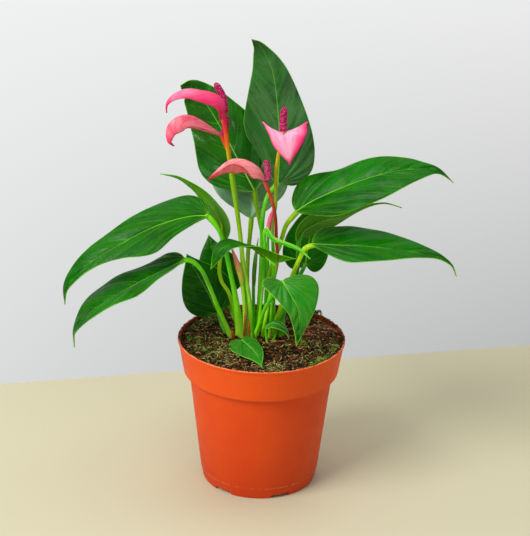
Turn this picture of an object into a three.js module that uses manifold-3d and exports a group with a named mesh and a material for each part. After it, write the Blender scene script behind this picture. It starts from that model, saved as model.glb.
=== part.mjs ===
// A potted flamingo flower: narrow heart-shaped leaves on long stalks, pink reflexed blooms and a
// plastic nursery pot. Millimetres, +Z up, origin at the middle of the pot's foot, on the surface
// that it stands on. The side that faces -Y is the front.
import * as THREE from "three";
import { mergeVertices } from "three/addons/utils/BufferGeometryUtils.js";
import Module from "manifold-3d";

const wasm = await Module();
wasm.setup();

// Pot
const POT_HEIGHT = 109;
const RIM_RADIUS = 60;
const COLLAR_FOOT_RADIUS = 55.7; // outside of the collar, just above its lower edge
const COLLAR_BOTTOM = 84;
const BODY_TOP = 83; // where the body's wall comes out from under the collar
const BODY_TOP_RADIUS = 51.6;
const FOOT_TOP = 8.5;
const FOOT_TOP_RADIUS = 43;
const FOOT_RADIUS = 41.2;
const WALL = 1.5;
const LIP_HEIGHT = 2.2;
const LIP_OUT = 0.7; // how far the lip stands out from the collar
const FLOOR_BOTTOM = 3.5; // the floor is raised, so that water drains under it
const FLOOR_THICKNESS = 1.6;
const PAD_RADIUS = 8; // the pad at the middle of the floor, which stands on the ground too
const POT_SIDES = 46;
const NOTCHES = 6;
const NOTCH_WIDTH = 14;
const NOTCH_HEIGHT = 2.4;
const NOTCH_TURN = -38; // degrees from the front to the first notch
const DRAIN_RADIUS = 3.2;
const DRAIN_RING = 30;

// Soil
const SOIL_EDGE = 106.2; // height where it meets the wall
const SOIL_MOUND = 1.4; // how much higher it is at the crown
const SOIL_LUMP = 0.9;
const SOIL_RINGS = 4;
const SOIL_SIDES = 24;
const CLEAR = 0.3; // gap between pieces that touch
const ROOT_DEPTH = 97; // height of the stalks' lower ends, inside the soil

// Plant
const BLADE_THICKNESS = 0.8;
const SPATHE_THICKNESS = 0.9;
const STALK_SIDES = 6;
const STALK_STEP = 9; // length of one straight stretch of a stalk
const SWELL = 1.25; // a stalk is this much thicker at its joint with the blade
const SWELL_SHARE = 0.06;
const JOINT_DROP = 0.75; // how far below the rib a stalk runs at the joint, in its own radii
const JOINT_REACH = 3; // how far along the rib it goes on
const SPADIX_SIDES = 10;
const SPADIX_RINGS = 12;
const SPADIX_BUMP = 0.22;
const MERGE_WITHIN = 0.04; // a cut solid's faces that lie this near to flat become one
const FRAME_STEPS = 60; // stations along a rib at which its frame is worked out
const VEIN_LEAD = 0.14; // a side vein meets the margin this share of the length past its foot
const WAVES = 2.6; // up and down, from a blade's joint to its tip

// Half outlines, from the notch where the stalk joins, round the lobe, to the tip. Each point is a
// share of the rib's length along it, and a share of the half width across it.
const ROUND_BASE = [
  [0, 0], [-0.005, 0.12], [0, 0.3], [0.025, 0.52], [0.075, 0.73], [0.15, 0.9], [0.26, 1],
  [0.4, 0.98], [0.54, 0.85], [0.68, 0.63], [0.8, 0.39], [0.89, 0.2], [0.955, 0.08], [1, 0],
];
const NARROW_BASE = [
  [0, 0], [0.025, 0.1], [0.075, 0.25], [0.145, 0.45], [0.225, 0.7], [0.31, 0.9], [0.41, 0.98],
  [0.52, 0.88], [0.63, 0.74], [0.74, 0.58], [0.84, 0.38], [0.91, 0.2], [0.96, 0.09], [1, 0],
];
const BROAD_TIP = [
  [0, 0], [0.01, 0.13], [0.04, 0.3], [0.08, 0.5], [0.15, 0.78], [0.23, 0.94], [0.32, 0.99],
  [0.43, 0.9], [0.54, 0.76], [0.66, 0.64], [0.78, 0.5], [0.88, 0.38], [0.95, 0.22], [1, 0],
];
const LEANING_TIP = [
  [0, 0], [0.01, 0.14], [0.04, 0.34], [0.08, 0.57], [0.15, 0.8], [0.23, 0.95], [0.32, 1],
  [0.43, 0.92], [0.54, 0.77], [0.66, 0.61], [0.78, 0.44], [0.88, 0.27], [0.95, 0.15], [1, 0],
];
const LONG_TAIL = [
  [0, 0], [-0.005, 0.25], [0.01, 0.55], [0.05, 0.84], [0.11, 0.98], [0.19, 0.97], [0.3, 0.84],
  [0.44, 0.73], [0.59, 0.62], [0.72, 0.48], [0.84, 0.3], [0.92, 0.15], [0.97, 0.06], [1, 0],
];
const WAISTED = [
  [0, 0], [-0.005, 0.35], [0.01, 0.62], [0.05, 0.92], [0.11, 0.99], [0.19, 0.89], [0.3, 0.73],
  [0.44, 0.74], [0.59, 0.61], [0.72, 0.4], [0.82, 0.18], [0.9, 0.07], [0.96, 0.03], [1, 0],
];
const SLOPING_BASE = [
  [0, 0], [0.025, 0.16], [0.075, 0.42], [0.15, 0.69], [0.26, 0.92], [0.4, 1], [0.54, 0.88],
  [0.68, 0.66], [0.8, 0.38], [0.87, 0.18], [0.92, 0.08], [0.96, 0.03], [1, 0],
];
const ROUND_TAIL = [
  [0, 0], [-0.005, 0.14], [0, 0.36], [0.025, 0.74], [0.075, 0.88], [0.15, 0.92], [0.26, 0.98],
  [0.4, 0.9], [0.54, 0.65], [0.68, 0.45], [0.8, 0.23], [0.88, 0.11], [0.94, 0.05], [1, 0],
];
const FULL_TAIL = [
  [0, 0], [0, 0.26], [0.02, 0.55], [0.07, 0.75], [0.145, 0.8], [0.225, 0.76], [0.31, 0.78],
  [0.41, 0.9], [0.52, 1], [0.63, 0.94], [0.74, 0.64], [0.84, 0.32], [0.91, 0.14], [0.96, 0.05],
  [1, 0],
];
const SLIM_TAIL = [
  [0, 0], [0.01, 0.1], [0.04, 0.25], [0.1, 0.56], [0.18, 0.82], [0.28, 1], [0.38, 0.98],
  [0.49, 0.78], [0.61, 0.5], [0.73, 0.25], [0.83, 0.11], [0.91, 0.05], [0.96, 0.025], [1, 0],
];
const BELLY = [
  [0, 0], [0.03, 0.08], [0.09, 0.2], [0.17, 0.46], [0.26, 0.76], [0.35, 0.89], [0.44, 0.8],
  [0.53, 0.55], [0.63, 0.35], [0.74, 0.22], [0.84, 0.16], [0.91, 0.09], [0.96, 0.05], [1, 0],
];
const WIDE_BASE = [
  [0, 0], [-0.005, 0.24], [-0.005, 0.47], [0.03, 0.7], [0.1, 0.92], [0.19, 0.98], [0.3, 0.92],
  [0.42, 0.79], [0.55, 0.62], [0.68, 0.44], [0.8, 0.27], [0.89, 0.14], [0.955, 0.06], [1, 0],
];
const HEART = [
  [0, 0], [-0.06, 0.14], [-0.1, 0.36], [-0.09, 0.6], [-0.02, 0.82], [0.08, 0.96], [0.2, 1],
  [0.36, 0.94], [0.52, 0.76], [0.67, 0.53], [0.8, 0.3], [0.9, 0.13], [0.96, 0.05], [1, 0],
];
const HEART_LOBED = [
  [0, 0], [-0.08, 0.2], [-0.15, 0.48], [-0.15, 0.78], [-0.08, 0.95], [0.01, 0.88], [0.13, 0.77],
  [0.27, 0.66], [0.42, 0.56], [0.58, 0.43], [0.72, 0.29], [0.84, 0.16], [0.93, 0.07], [1, 0],
];
const HEART_ROUND = [
  [0, 0], [-0.02, 0.1], [-0.01, 0.24], [0.03, 0.54], [0.11, 0.84], [0.22, 0.97], [0.34, 0.92],
  [0.47, 0.62], [0.59, 0.39], [0.71, 0.24], [0.82, 0.14], [0.9, 0.08], [0.96, 0.04], [1, 0],
];
const LONG_LOBE = [
  [0, 0], [-0.03, 0.25], [-0.055, 0.5], [-0.08, 0.78], [-0.1, 1], [-0.055, 0.88], [0.01, 0.72],
  [0.1, 0.59], [0.2, 0.52], [0.34, 0.5], [0.5, 0.52], [0.66, 0.47], [0.8, 0.32], [0.9, 0.16],
  [1, 0],
];
const SLIM_WING = [
  [0, 0], [0.02, 0.1], [0.06, 0.22], [0.12, 0.36], [0.2, 0.5], [0.3, 0.66], [0.42, 0.8],
  [0.54, 0.82], [0.66, 0.66], [0.78, 0.42], [0.88, 0.2], [0.95, 0.08], [1, 0],
];
const ROLLED_UP = [
  [0, 0], [-0.03, 0.5], [-0.01, 0.9], [0.06, 1], [0.14, 0.85], [0.24, 0.66], [0.4, 0.6],
  [0.56, 0.62], [0.7, 0.56], [0.82, 0.4], [0.92, 0.2], [1, 0],
];

const SPATHE = [
  [0, 0], [0, 0.2], [0.02, 0.44], [0.07, 0.68], [0.16, 0.88], [0.28, 0.99], [0.42, 0.97],
  [0.56, 0.84], [0.7, 0.62], [0.82, 0.38], [0.92, 0.16], [1, 0],
];
const LEFT_NEAR = [
  [0, 0], [0.05, 0.06], [0.12, 0.1], [0.2, 0.15], [0.3, 0.28], [0.4, 0.58], [0.5, 0.88],
  [0.59, 0.98], [0.69, 0.93], [0.8, 0.72], [0.9, 0.4], [0.96, 0.17], [1, 0],
];
const LEFT_FAR = [
  [0, 0], [0.05, 0.1], [0.12, 0.22], [0.2, 0.4], [0.3, 0.62], [0.4, 0.82], [0.5, 0.86],
  [0.59, 0.8], [0.69, 0.7], [0.8, 0.52], [0.9, 0.28], [0.96, 0.12], [1, 0],
];
const FRONT_NEAR = [
  [0, 0], [0.03, 0.14], [0.08, 0.36], [0.14, 0.64], [0.2, 0.82], [0.27, 0.84], [0.35, 0.72],
  [0.45, 0.56], [0.55, 0.42], [0.65, 0.3], [0.76, 0.22], [0.87, 0.13], [0.95, 0.05], [1, 0],
];
const FRONT_FAR = [
  [0, 0], [0.05, 0.12], [0.12, 0.3], [0.2, 0.5], [0.3, 0.66], [0.4, 0.76], [0.5, 0.83],
  [0.6, 0.83], [0.7, 0.7], [0.8, 0.48], [0.9, 0.25], [0.96, 0.1], [1, 0],
];
const HOODED_SPATHE = [
  [0, 0], [-0.04, 0.3], [-0.05, 0.56], [0, 0.78], [0.1, 0.93], [0.22, 1], [0.38, 0.97],
  [0.54, 0.84], [0.7, 0.62], [0.82, 0.38], [0.92, 0.16], [1, 0],
];
const WINGED_SPATHE = [
  [0, 0], [-0.25, 1], [-0.15, 1], [-0.05, 0.99], [0.05, 0.97], [0.14, 0.93], [0.24, 0.88],
  [0.36, 0.79], [0.47, 0.68], [0.58, 0.54], [0.69, 0.38], [0.8, 0.22], [0.9, 0.09], [1, 0],
];
const HORNED_SPATHE = [
  [0, 0], [-0.38, 1], [-0.28, 0.98], [-0.16, 0.93], [-0.05, 0.87], [0.06, 0.81], [0.17, 0.77],
  [0.3, 0.72], [0.42, 0.64], [0.54, 0.52], [0.66, 0.38], [0.78, 0.22], [0.89, 0.09], [1, 0],
];

// Leaves. The stalk's points run up from the soil to just below the blade, and the rib's from the
// joint to the tip. face is the upper side's direction at the joint, and twist turns the blade about its rib
// towards the tip. Each half has a width, a fold against the face and a bend across, in degrees,
// with minus for downwards. wave is how far the margin goes up and down.
const LEAVES = {
  tall: {
    stalk: [[-2.5, 12], [-2.5, 12, 108], [-2, 10, 134], [-1, 10, 172], [-1, 11, 194], [2, 14, 210]],
    rib: [[9, 18, 218.5], [10, 24, 242.5], [8, 30, 270], [4, 33, 295], [-4, 32, 312], [-11, 26, 320]],
    face: [0.1, -1, 0.25],
    left: { width: 25, fold: -4, bend: -12, outline: NARROW_BASE },
    right: { width: 26.5, fold: -4, bend: -12, outline: WIDE_BASE },
    wave: 0.9,
    radius: [2, 1.6],
    rows: 16,
    columns: 4,
  },
  upper_left: {
    stalk: [[1.5, 18], [2, 18, 108], [3, 18, 139], [1.5, 20, 167], [-3, 22, 189], [-5.5, 22, 201]],
    rib: [
      [-7, 21, 212], [-13, 25, 222], [-21, 30, 235.5], [-28, 34, 247.5], [-41, 37, 268.5],
      [-51, 36, 281], [-60, 31, 285],
    ],
    face: [0, -1, 0.35],
    left: { width: 28, fold: 4, bend: -16, outline: BROAD_TIP },
    right: { width: 28, fold: 4, bend: -16, outline: LEANING_TIP },
    wave: 1,
    radius: [2, 1.5],
    rows: 16,
    columns: 4,
  },
  rear: {
    stalk: [[-8, 14], [-8.5, 15, 110], [-11, 20, 137], [-11, 24, 161], [-10, 26, 174]],
    rib: [
      [-9, 28, 189], [-9, 33, 198], [-10, 42, 211], [-13, 54, 226], [-17, 70, 236],
      [-21, 86, 236], [-24, 98, 228],
    ],
    face: [0, -0.9, 0.5],
    left: { width: 28, fold: 10, bend: -16, outline: BROAD_TIP },
    right: { width: 28, fold: 10, bend: -16, outline: BROAD_TIP },
    wave: 0.8,
    radius: [1.9, 1.5],
    rows: 14,
    columns: 3,
  },
  left_high: {
    stalk: [
      [-15.5, 4], [-15.5, 3, 110], [-19, -2, 140], [-23, -5, 161], [-26, -7, 176],
      [-30.3, -9, 192],
    ],
    rib: [
      [-38, -10, 204], [-51, -13, 204], [-68, -17, 200.5], [-85, -21, 193.5], [-102, -25, 184.5],
      [-115, -27, 176.5], [-127, -28, 166], [-135, -28, 155], [-137, -26, 142],
    ],
    face: [-0.1, -0.45, 1],
    left: { width: 22, fold: 4, bend: -26, outline: BELLY },
    right: { width: 22, fold: 16, bend: -30, outline: LONG_TAIL },
    wave: 1.2,
    radius: [3.3, 1.6],
    rows: 16,
    columns: 4,
  },
  left_low: {
    stalk: [
      [-21, 3], [-21.5, 3, 105], [-31, -4, 132], [-37, -9, 150], [-42, -14, 164],
      [-48, -17, 172],
    ],
    rib: [
      [-54, -18, 175], [-63, -22, 170.5], [-77, -26, 164.5], [-94, -31, 156], [-111, -35, 146],
      [-122, -37, 137], [-129, -37, 126], [-130, -36, 114],
    ],
    face: [-0.3, -0.2, 1],
    left: { width: 15, fold: 16, bend: -24, outline: NARROW_BASE },
    right: { width: 20, fold: 14, bend: -20, outline: FULL_TAIL },
    wave: 1,
    radius: [1.9, 1.5],
    rows: 16,
    columns: 4,
  },
  left_narrow: {
    stalk: [
      [-18.5, 9], [-17.5, 10, 109], [-23, 11, 135], [-29, 11, 146], [-31, 11, 155],
      [-30, 11.5, 168],
    ],
    rib: [
      [-28, 12, 179], [-29.5, 14, 190.5], [-37, 18, 202], [-45.5, 22, 210], [-53.5, 25, 215],
      [-62, 27, 219], [-74, 28, 221],
    ],
    face: [0.65, 0.5, 0.5],
    left: { width: 14, fold: 0, bend: -10, outline: HEART_ROUND },
    right: { width: 14, fold: 0, bend: -10, outline: HEART_ROUND },
    wave: 0.6,
    radius: [1.6, 1.4],
    rows: 12,
    columns: 3,
  },
  shade_left: {
    stalk: [[-25, 7], [-25, 7, 105], [-29, 10, 113]],
    rib: [[-32, 14, 121], [-40, 16, 137], [-48, 18, 151], [-55, 22, 163]],
    face: [0, -1, 0.3],
    left: { width: 19, fold: 4, bend: -10, outline: ROUND_BASE },
    right: { width: 19, fold: 4, bend: -10, outline: ROUND_BASE },
    wave: 0.5,
    radius: [1.2, 1.1],
    rows: 12,
    columns: 3,
  },
  shade_rear: {
    stalk: [[-15, 13], [-16, 13.5, 108], [-22, 20, 118]],
    rib: [[-26, 26, 131], [-30, 28, 145], [-36, 33, 158], [-40, 41, 171]],
    face: [0, -1, 0.3],
    left: { width: 16, fold: 4, bend: -10, outline: ROUND_BASE },
    right: { width: 16, fold: 4, bend: -10, outline: ROUND_BASE },
    wave: 0.5,
    radius: [1.2, 1],
    rows: 12,
    columns: 3,
  },
  arched: {
    stalk: [[5.5, 0], [5.5, 0, 108], [7, -3, 135], [8, -9, 155], [7.5, -15, 168]],
    rib: [
      [8.3, -18.5, 172.6], [-4, -19, 182.8], [-14, -20, 186], [-23, -22, 187.3], [-30, -25, 183],
      [-36, -28, 171],
    ],
    face: [0.1, 0.8, 0.6],
    twist: -90,
    left: { width: 17.5, fold: 10, bend: -16, outline: LONG_LOBE },
    right: { width: 13, fold: 10, bend: -16, outline: SLIM_WING },
    wave: 0.3,
    radius: [1.1, 1],
    rows: 12,
    columns: 3,
  },
  heart: {
    stalk: [[-4.5, -2], [-5, -3, 109], [-2, -6, 121], [1, -9, 132], [4, -12, 140], [9, -14, 149]],
    rib: [[14, -15, 158], [20, -21, 150], [25, -25, 141], [26, -28, 130], [24.5, -29, 115]],
    face: [-0.1, -0.7, 0.75],
    left: { width: 21, fold: 14, bend: -16, outline: HEART_ROUND },
    right: { width: 14.5, fold: 10, bend: -16, outline: HEART_LOBED },
    wave: 0.4,
    radius: [1.5, 1.3],
    rows: 14,
    columns: 3,
  },
  low: {
    look: "youngLeaf",
    stalk: [[-10, -4], [-11, -5.5, 104.5], [-12.5, -9, 108]],
    rib: [[-14, -12, 111.4], [-9, -23, 112.1], [-3, -35.5, 110.9], [1, -51, 109]],
    face: [-0.1, -0.3, 1],
    left: { width: 8, fold: 4, bend: -14, outline: HEART },
    right: { width: 12, fold: 4, bend: -14, outline: HEART },
    wave: 0.2,
    radius: [0.9, 0.8],
    rows: 10,
    columns: 3,
  },
  right_high: {
    stalk: [
      [2, 6], [1.5, 6, 110], [4, 6, 144], [7, 5.6, 165], [11, 4.8, 175.5], [13, 3.8, 183.7],
      [16, 2.8, 194],
    ],
    rib: [
      [22, 1.5, 204], [34, -0.5, 213], [48, -2.5, 221], [66, -5.5, 230], [84, -8.5, 237],
      [102, -10.5, 241], [117, -11.5, 241], [129, -11.5, 232],
    ],
    face: [-0.3, -0.6, 1],
    left: { width: 23, fold: 10, bend: -20, outline: WAISTED },
    right: { width: 23, fold: 10, bend: -24, outline: SLOPING_BASE },
    wave: 1.2,
    radius: [2, 1.6],
    rows: 16,
    columns: 4,
  },
  right_low: {
    stalk: [[8, 5], [7.5, 5, 108], [15, 1, 137], [21, -2, 158], [26, -4, 172], [29, -5, 179]],
    rib: [
      [34, -6, 183], [53, -10, 184], [72, -14, 185], [90, -17, 184.5], [108, -20, 183],
      [121, -21, 180.5], [130, -21, 175], [134, -21, 167],
    ],
    face: [0.1, -0.4, 1],
    left: { width: 20, fold: 12, bend: -20, outline: ROUND_TAIL },
    right: { width: 17, fold: 12, bend: -24, outline: SLIM_TAIL },
    wave: 1,
    radius: [1.9, 1.6],
    rows: 16,
    columns: 4,
  },
  right_far: {
    stalk: [[12, 10], [11, 10, 108], [19, 13, 132], [24.5, 16, 151]],
    rib: [
      [24, 17, 174], [28, 22, 182], [39, 28, 187], [55, 34, 190], [74, 38, 196], [87, 40, 198],
      [99, 40, 195],
    ],
    face: [-0.3, 0.75, 0.6],
    twist: 40,
    left: { width: 15, fold: 8, bend: -16, outline: SLIM_TAIL },
    right: { width: 15, fold: 8, bend: -16, outline: SLIM_TAIL },
    wave: 0.6,
    radius: [1.6, 1.4],
    rows: 12,
    columns: 3,
  },
  shade_right: {
    stalk: [[12.5, 16], [12, 16, 108], [21, 28, 130]],
    rib: [[31, 40, 150], [32.5, 43, 162], [36, 48, 180], [43, 56, 196]],
    face: [0, -1, 0.3],
    left: { width: 18, fold: 4, bend: -10, outline: HEART },
    right: { width: 15.5, fold: 4, bend: -10, outline: HEART },
    wave: 0.5,
    radius: [1.5, 1.3],
    rows: 12,
    columns: 3,
  },
  rolled: {
    look: "youngLeaf",
    stalk: [[-3, 3], [-3, 3, 108], [0, 0, 145], [1, -2, 176]],
    rib: [
      [0.8, -3, 191.5], [3.5, -4.5, 188], [8.5, -6.5, 184.8], [18.5, -10, 182.3],
      [26, -12, 179.5], [33, -14, 175],
    ],
    face: [0.3, -0.3, 1],
    left: { width: 4, fold: 45, bend: 90, outline: ROLLED_UP },
    right: { width: 4, fold: 45, bend: 90, outline: ROLLED_UP },
    radius: [1.1, 0.9],
    rows: 10,
    columns: 3,
  },
  young: {
    look: "youngLeaf",
    stalk: [[4, -5], [4, -5, 107], [3.2, -5.4, 113]],
    rib: [
      [3, -6.5, 119.5], [7.5, -7.5, 123], [13, -8.5, 122], [17.5, -9.5, 118], [19.5, -10.5, 112.5],
    ],
    face: [0, -0.3, 1],
    left: { width: 3.6, fold: 4, bend: -20, outline: ROUND_BASE },
    right: { width: 4.6, fold: 4, bend: -20, outline: ROUND_BASE },
    radius: [0.8, 0.7],
    rows: 8,
    columns: 2,
  },
};

// Blooms. The stem's points run up from the soil to just below the bloom, the rib is the spathe's,
// and the spadix's points run up from just above the joint.
const BLOOMS = {
  top: {
    stem: [
      [-7.5, 3], [-7.5, 3, 110], [-9, 2, 135], [-14, 2, 165], [-17.3, 2, 193], [-22.5, 2.2, 226],
      [-26.5, 3, 255],
    ],
    rib: [
      [-28.3, 3, 274], [-27.8, 2, 280.5], [-33.5, 0.5, 287.5], [-45, -2, 291], [-54, -4, 292],
      [-62, -6, 289], [-67, -7, 283], [-67, -7, 276],
    ],
    face: [1, 0.2, 0.3],
    rows: 12,
    left: { width: 10.5, fold: -20, bend: -50, outline: HOODED_SPATHE },
    right: { width: 9, fold: -20, bend: -50, outline: SPATHE },
    spadix: [[-29.4, 8, 283], [-32.6, 10, 289], [-35.2, 10, 293]],
    radius: [1.7, 1.5],
  },
  left: {
    stem: [
      [-11, 8], [-11, 8, 110], [-12, 8, 134], [-14.6, 8, 162], [-17.2, 8.5, 191],
      [-21.7, 8.5, 224], [-24.9, 9, 242],
    ],
    rib: [
      [-29, 9, 256], [-37, 8, 262], [-44, 7, 267], [-51, 6, 270.6], [-58, 5, 270.8],
      [-64.5, 4, 267], [-68, 4, 260], [-66.8, 4, 252], [-62.5, 4, 249.2],
    ],
    face: [0.5, -0.1, 1],
    rows: 12,
    left: { width: 11, fold: -30, bend: -60, outline: LEFT_NEAR },
    right: { width: 13, fold: -70, bend: -30, outline: LEFT_FAR },
    spadix: [[-27.8, 12, 260], [-27.6, 13, 266], [-27.6, 13.6, 270]],
    radius: [1.5, 1.3],
  },
  front: {
    stem: [
      [0.5, 0.5], [1, 0.5, 111], [6, 0.5, 144], [10, -0.5, 166], [9, -1, 185], [8, -2, 201],
      [5, -3, 215],
    ],
    rib: [
      [1, -4, 228], [-3, -6, 237], [-10, -8, 243], [-17, -10, 245.5], [-24, -12, 245],
      [-31, -14, 240], [-39, -15, 231],
    ],
    face: [0.9, 0.2, 0.5],
    rows: 12,
    left: { width: 12, fold: -30, bend: -50, outline: FRONT_NEAR },
    right: { width: 14, fold: -70, bend: -30, outline: FRONT_FAR },
    spadix: [[2.1, -2.4, 233], [1.4, -1.6, 238], [0.4, -1, 242]],
    radius: [1.3, 1.2],
  },
  right: {
    stem: [
      [9, 13], [8.5, 13, 109], [8, 12, 141], [7.5, 11.5, 163], [6, 10, 193], [8, 8.5, 206],
      [8, 6, 234],
    ],
    rib: [[12, 4, 261], [13, -1, 257], [15, -4, 249], [17, -5, 240]],
    face: [0, -0.5, 1],
    veinCurve: 2.2,
    left: { width: 17, fold: 12, bend: -24, outline: WINGED_SPATHE },
    right: { width: 12.5, fold: 12, bend: -24, outline: HORNED_SPATHE },
    spadix: [[12, 6.6, 267], [12.3, 7.4, 273], [12.6, 7.8, 277.5]],
    radius: [1.5, 1.3],
  },
};
const SPADIX_RADIUS = 2.7;
const STIPE_RADIUS = 1.1; // the bare foot of the spadix
const STIPE_LIFT = 1.5; // how high over the spathe's rib the foot starts

// Buds and sheaths: a stem, and what is rolled up at its end.
const BUDS = {
  pink: {
    stem: [[4.5, 11], [4.5, 11, 109], [4, 10.5, 143], [3.5, 9, 165]],
    bud: [[3, 4, 186], [3.6, 3.8, 192], [5, 3.5, 199], [7.5, 3, 208]],
    radius: [1.1, 1],
    budRadius: 1.9,
    look: "bud",
  },
  sheathed: {
    stem: [[-11.5, 0], [-12, 0, 110], [-13, 0, 136]],
    bud: [[-14.6, 0, 149], [-16, -0.3, 157], [-19, -1, 168], [-23, -1, 179]],
    radius: [1.3, 1.2],
    budRadius: 2,
    look: "bud",
  },
  spear: {
    stem: [[-5.5, 8], [-5.5, 8, 110], [-6, 8, 128]],
    bud: [[-6.4, 8, 143], [-6, 8, 156], [-5, 8, 170], [-3.6, 8, 182]],
    radius: [1.3, 1.2],
    budRadius: 1.6,
    look: "youngLeaf",
  },
};

const COLOURS = {
  leaf: { color: 0x1f6b2a, roughness: 0.35 },
  youngLeaf: { color: 0x3f9a35, roughness: 0.38 },
  stalk: { color: 0x6fa02a, roughness: 0.5 },
  bloomStem: { color: 0x9a8a2c, roughness: 0.5 },
  spathe: { color: 0xf2587f, roughness: 0.35 },
  spadix: { color: 0x9c2a5c, roughness: 0.7 },
  bud: { color: 0xe08088, roughness: 0.45 },
  pot: { color: 0xd9501f, roughness: 0.55 },
  soil: { color: 0x2e2118, roughness: 1 },
};

const radians = THREE.MathUtils.degToRad;
const lerp = THREE.MathUtils.lerp;

function vector([x, y, z = ROOT_DEPTH]) {
  return new THREE.Vector3(x, y, z);
}

function smoothCurve(points) {
  return new THREE.CatmullRomCurve3(points.map(vector), false, "catmullrom", 0.5);
}

// Solids

function solidOf(geometry) {
  const bare = new THREE.BufferGeometry();
  bare.setAttribute("position", geometry.getAttribute("position"));
  bare.setIndex(geometry.index);
  const merged = mergeVertices(bare, 1e-3);
  return new wasm.Manifold(
    new wasm.Mesh({
      numProp: 3,
      vertProperties: new Float32Array(merged.getAttribute("position").array),
      triVerts: new Uint32Array(merged.index.array),
    }),
  );
}

// The mesh of a solid's largest body, without points that hardly change its form.
function geometryOf(solid) {
  const bodies = solid.simplify(MERGE_WITHIN).decompose();
  const largest = bodies.reduce((best, body) => (body.volume() > best.volume() ? body : best));
  const { vertProperties, triVerts, numProp } = largest.getMesh();
  const geometry = new THREE.BufferGeometry();
  const interleaved = new THREE.InterleavedBuffer(vertProperties, numProp);
  geometry.setAttribute("position", new THREE.InterleavedBufferAttribute(interleaved, 3, 0));
  geometry.setIndex(new THREE.BufferAttribute(triVerts, 1));
  return mergeVertices(geometry.toNonIndexed(), 1e-3);
}

// Tubes: rings of points round a curve, with a closed cap at each end.
function tubeGeometry(curve, steps, sides, radiusAt) {
  const frames = curve.computeFrenetFrames(steps);
  const points = [curve.getPointAt(0)];
  for (let i = 0; i <= steps; i++) {
    const centre = curve.getPointAt(i / steps);
    for (let k = 0; k < sides; k++) {
      const turn = (2 * Math.PI * k) / sides;
      const radius = radiusAt(i / steps, i, k);
      points.push(
        centre
          .clone()
          .addScaledVector(frames.normals[i], radius * Math.cos(turn))
          .addScaledVector(frames.binormals[i], radius * Math.sin(turn)),
      );
    }
  }
  points.push(curve.getPointAt(1));
  const last = points.length - 1;
  const at = (ring, k) => 1 + ring * sides + (k % sides);
  const faces = [];
  for (let k = 0; k < sides; k++) {
    faces.push([0, at(0, k + 1), at(0, k)], [last, at(steps, k), at(steps, k + 1)]);
    for (let i = 0; i < steps; i++) {
      faces.push([at(i, k), at(i, k + 1), at(i + 1, k)]);
      faces.push([at(i, k + 1), at(i + 1, k + 1), at(i + 1, k)]);
    }
  }
  return indexedGeometry(points, faces);
}

function indexedGeometry(points, faces) {
  const geometry = new THREE.BufferGeometry().setFromPoints(points);
  geometry.setIndex(faces.flat());
  return geometry;
}

// Blades

// Positions and directions along a rib: the tangent, the way across to the right, and the face.
function ribFrames(piece) {
  const curve = smoothCurve(piece.rib);
  const length = curve.getLength();
  const frames = [];
  const face = new THREE.Vector3(...piece.face);
  for (let i = 0; i <= FRAME_STEPS; i++) {
    const along = i / FRAME_STEPS;
    const tangent = curve.getTangentAt(along);
    face.addScaledVector(tangent, -face.dot(tangent)).normalize();
    const turned = face.clone().applyAxisAngle(tangent, radians(piece.twist ?? 0) * along);
    frames.push({
      point: curve.getPointAt(along),
      tangent,
      face: turned,
      across: new THREE.Vector3().crossVectors(tangent, turned),
    });
  }
  return { frames, length, wave: piece.wave ?? 0 };
}

// The blade's middle surface at a share of the length along the rib and of the half width across it.
function surfacePoint({ frames, length, wave }, side, sign, along, across) {
  const place = THREE.MathUtils.clamp(along, 0, 1) * FRAME_STEPS;
  const i = Math.min(Math.floor(place), FRAME_STEPS - 1);
  const mix = place - i;
  const blend = (key) => frames[i][key].clone().lerp(frames[i + 1][key], mix);
  const point = blend("point").addScaledVector(blend("tangent"), Math.min(along, 0) * length);
  const fold = radians(side.fold);
  const bend = radians(side.bend);
  const out = (side.width * (Math.sin(fold + bend * across) - Math.sin(fold))) / bend;
  const rise =
    (side.width * (Math.cos(fold) - Math.cos(fold + bend * across))) / bend +
    wave * across ** 2 * Math.sin(2 * Math.PI * WAVES * along + 1.3 * sign);
  return point
    .addScaledVector(blend("across"), sign * out)
    .addScaledVector(blend("face"), rise);
}

// Vertices and faces of the middle surface. The rows run from the rib to the margin, and those
// round the lobes all start at the joint. Both halves meet the rib at the same places.
function bladeSurface(piece) {
  const { rows = 14, columns = 3 } = piece;
  const rib = ribFrames(piece);
  const halves = [[piece.right, 1], [piece.left, -1]];
  const margins = halves.map(
    ([side]) => new THREE.SplineCurve(side.outline.map(([a, b]) => new THREE.Vector2(a, b))),
  );
  const footAt = (row) => {
    const reach = (margins[0].getPoint(row / rows).x + margins[1].getPoint(row / rows).x) / 2;
    return Math.max(0, reach - VEIN_LEAD * (1 - reach));
  };
  const places = new Map();
  const vertices = [];
  const indexAt = (point) => {
    const key = point.toArray().map((value) => value.toFixed(3)).join();
    if (!places.has(key)) {
      places.set(key, vertices.length);
      vertices.push(point);
    }
    return places.get(key);
  };
  const faces = [];
  halves.forEach(([side, sign], h) => {
    const grid = [];
    for (let i = 1; i <= rows; i++) {
      const edge = margins[h].getPoint(i / rows);
      const line = [];
      for (let j = 0; j <= columns; j++) {
        const along = lerp(footAt(i), edge.x, (j / columns) ** (piece.veinCurve ?? 1));
        line.push(indexAt(surfacePoint(rib, side, sign, along, (edge.y * j) / columns)));
      }
      grid.push(line);
    }
    for (let i = 0; i < grid.length - 1; i++) {
      for (let j = 0; j < columns; j++) {
        const corners = [grid[i][j], grid[i][j + 1], grid[i + 1][j + 1], grid[i + 1][j]];
        if (sign < 0) corners.reverse();
        faces.push([corners[0], corners[1], corners[2]], [corners[0], corners[2], corners[3]]);
      }
    }
  });
  return { vertices, faces: faces.filter(([i, j, k]) => i !== j && j !== k && i !== k) };
}

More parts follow.
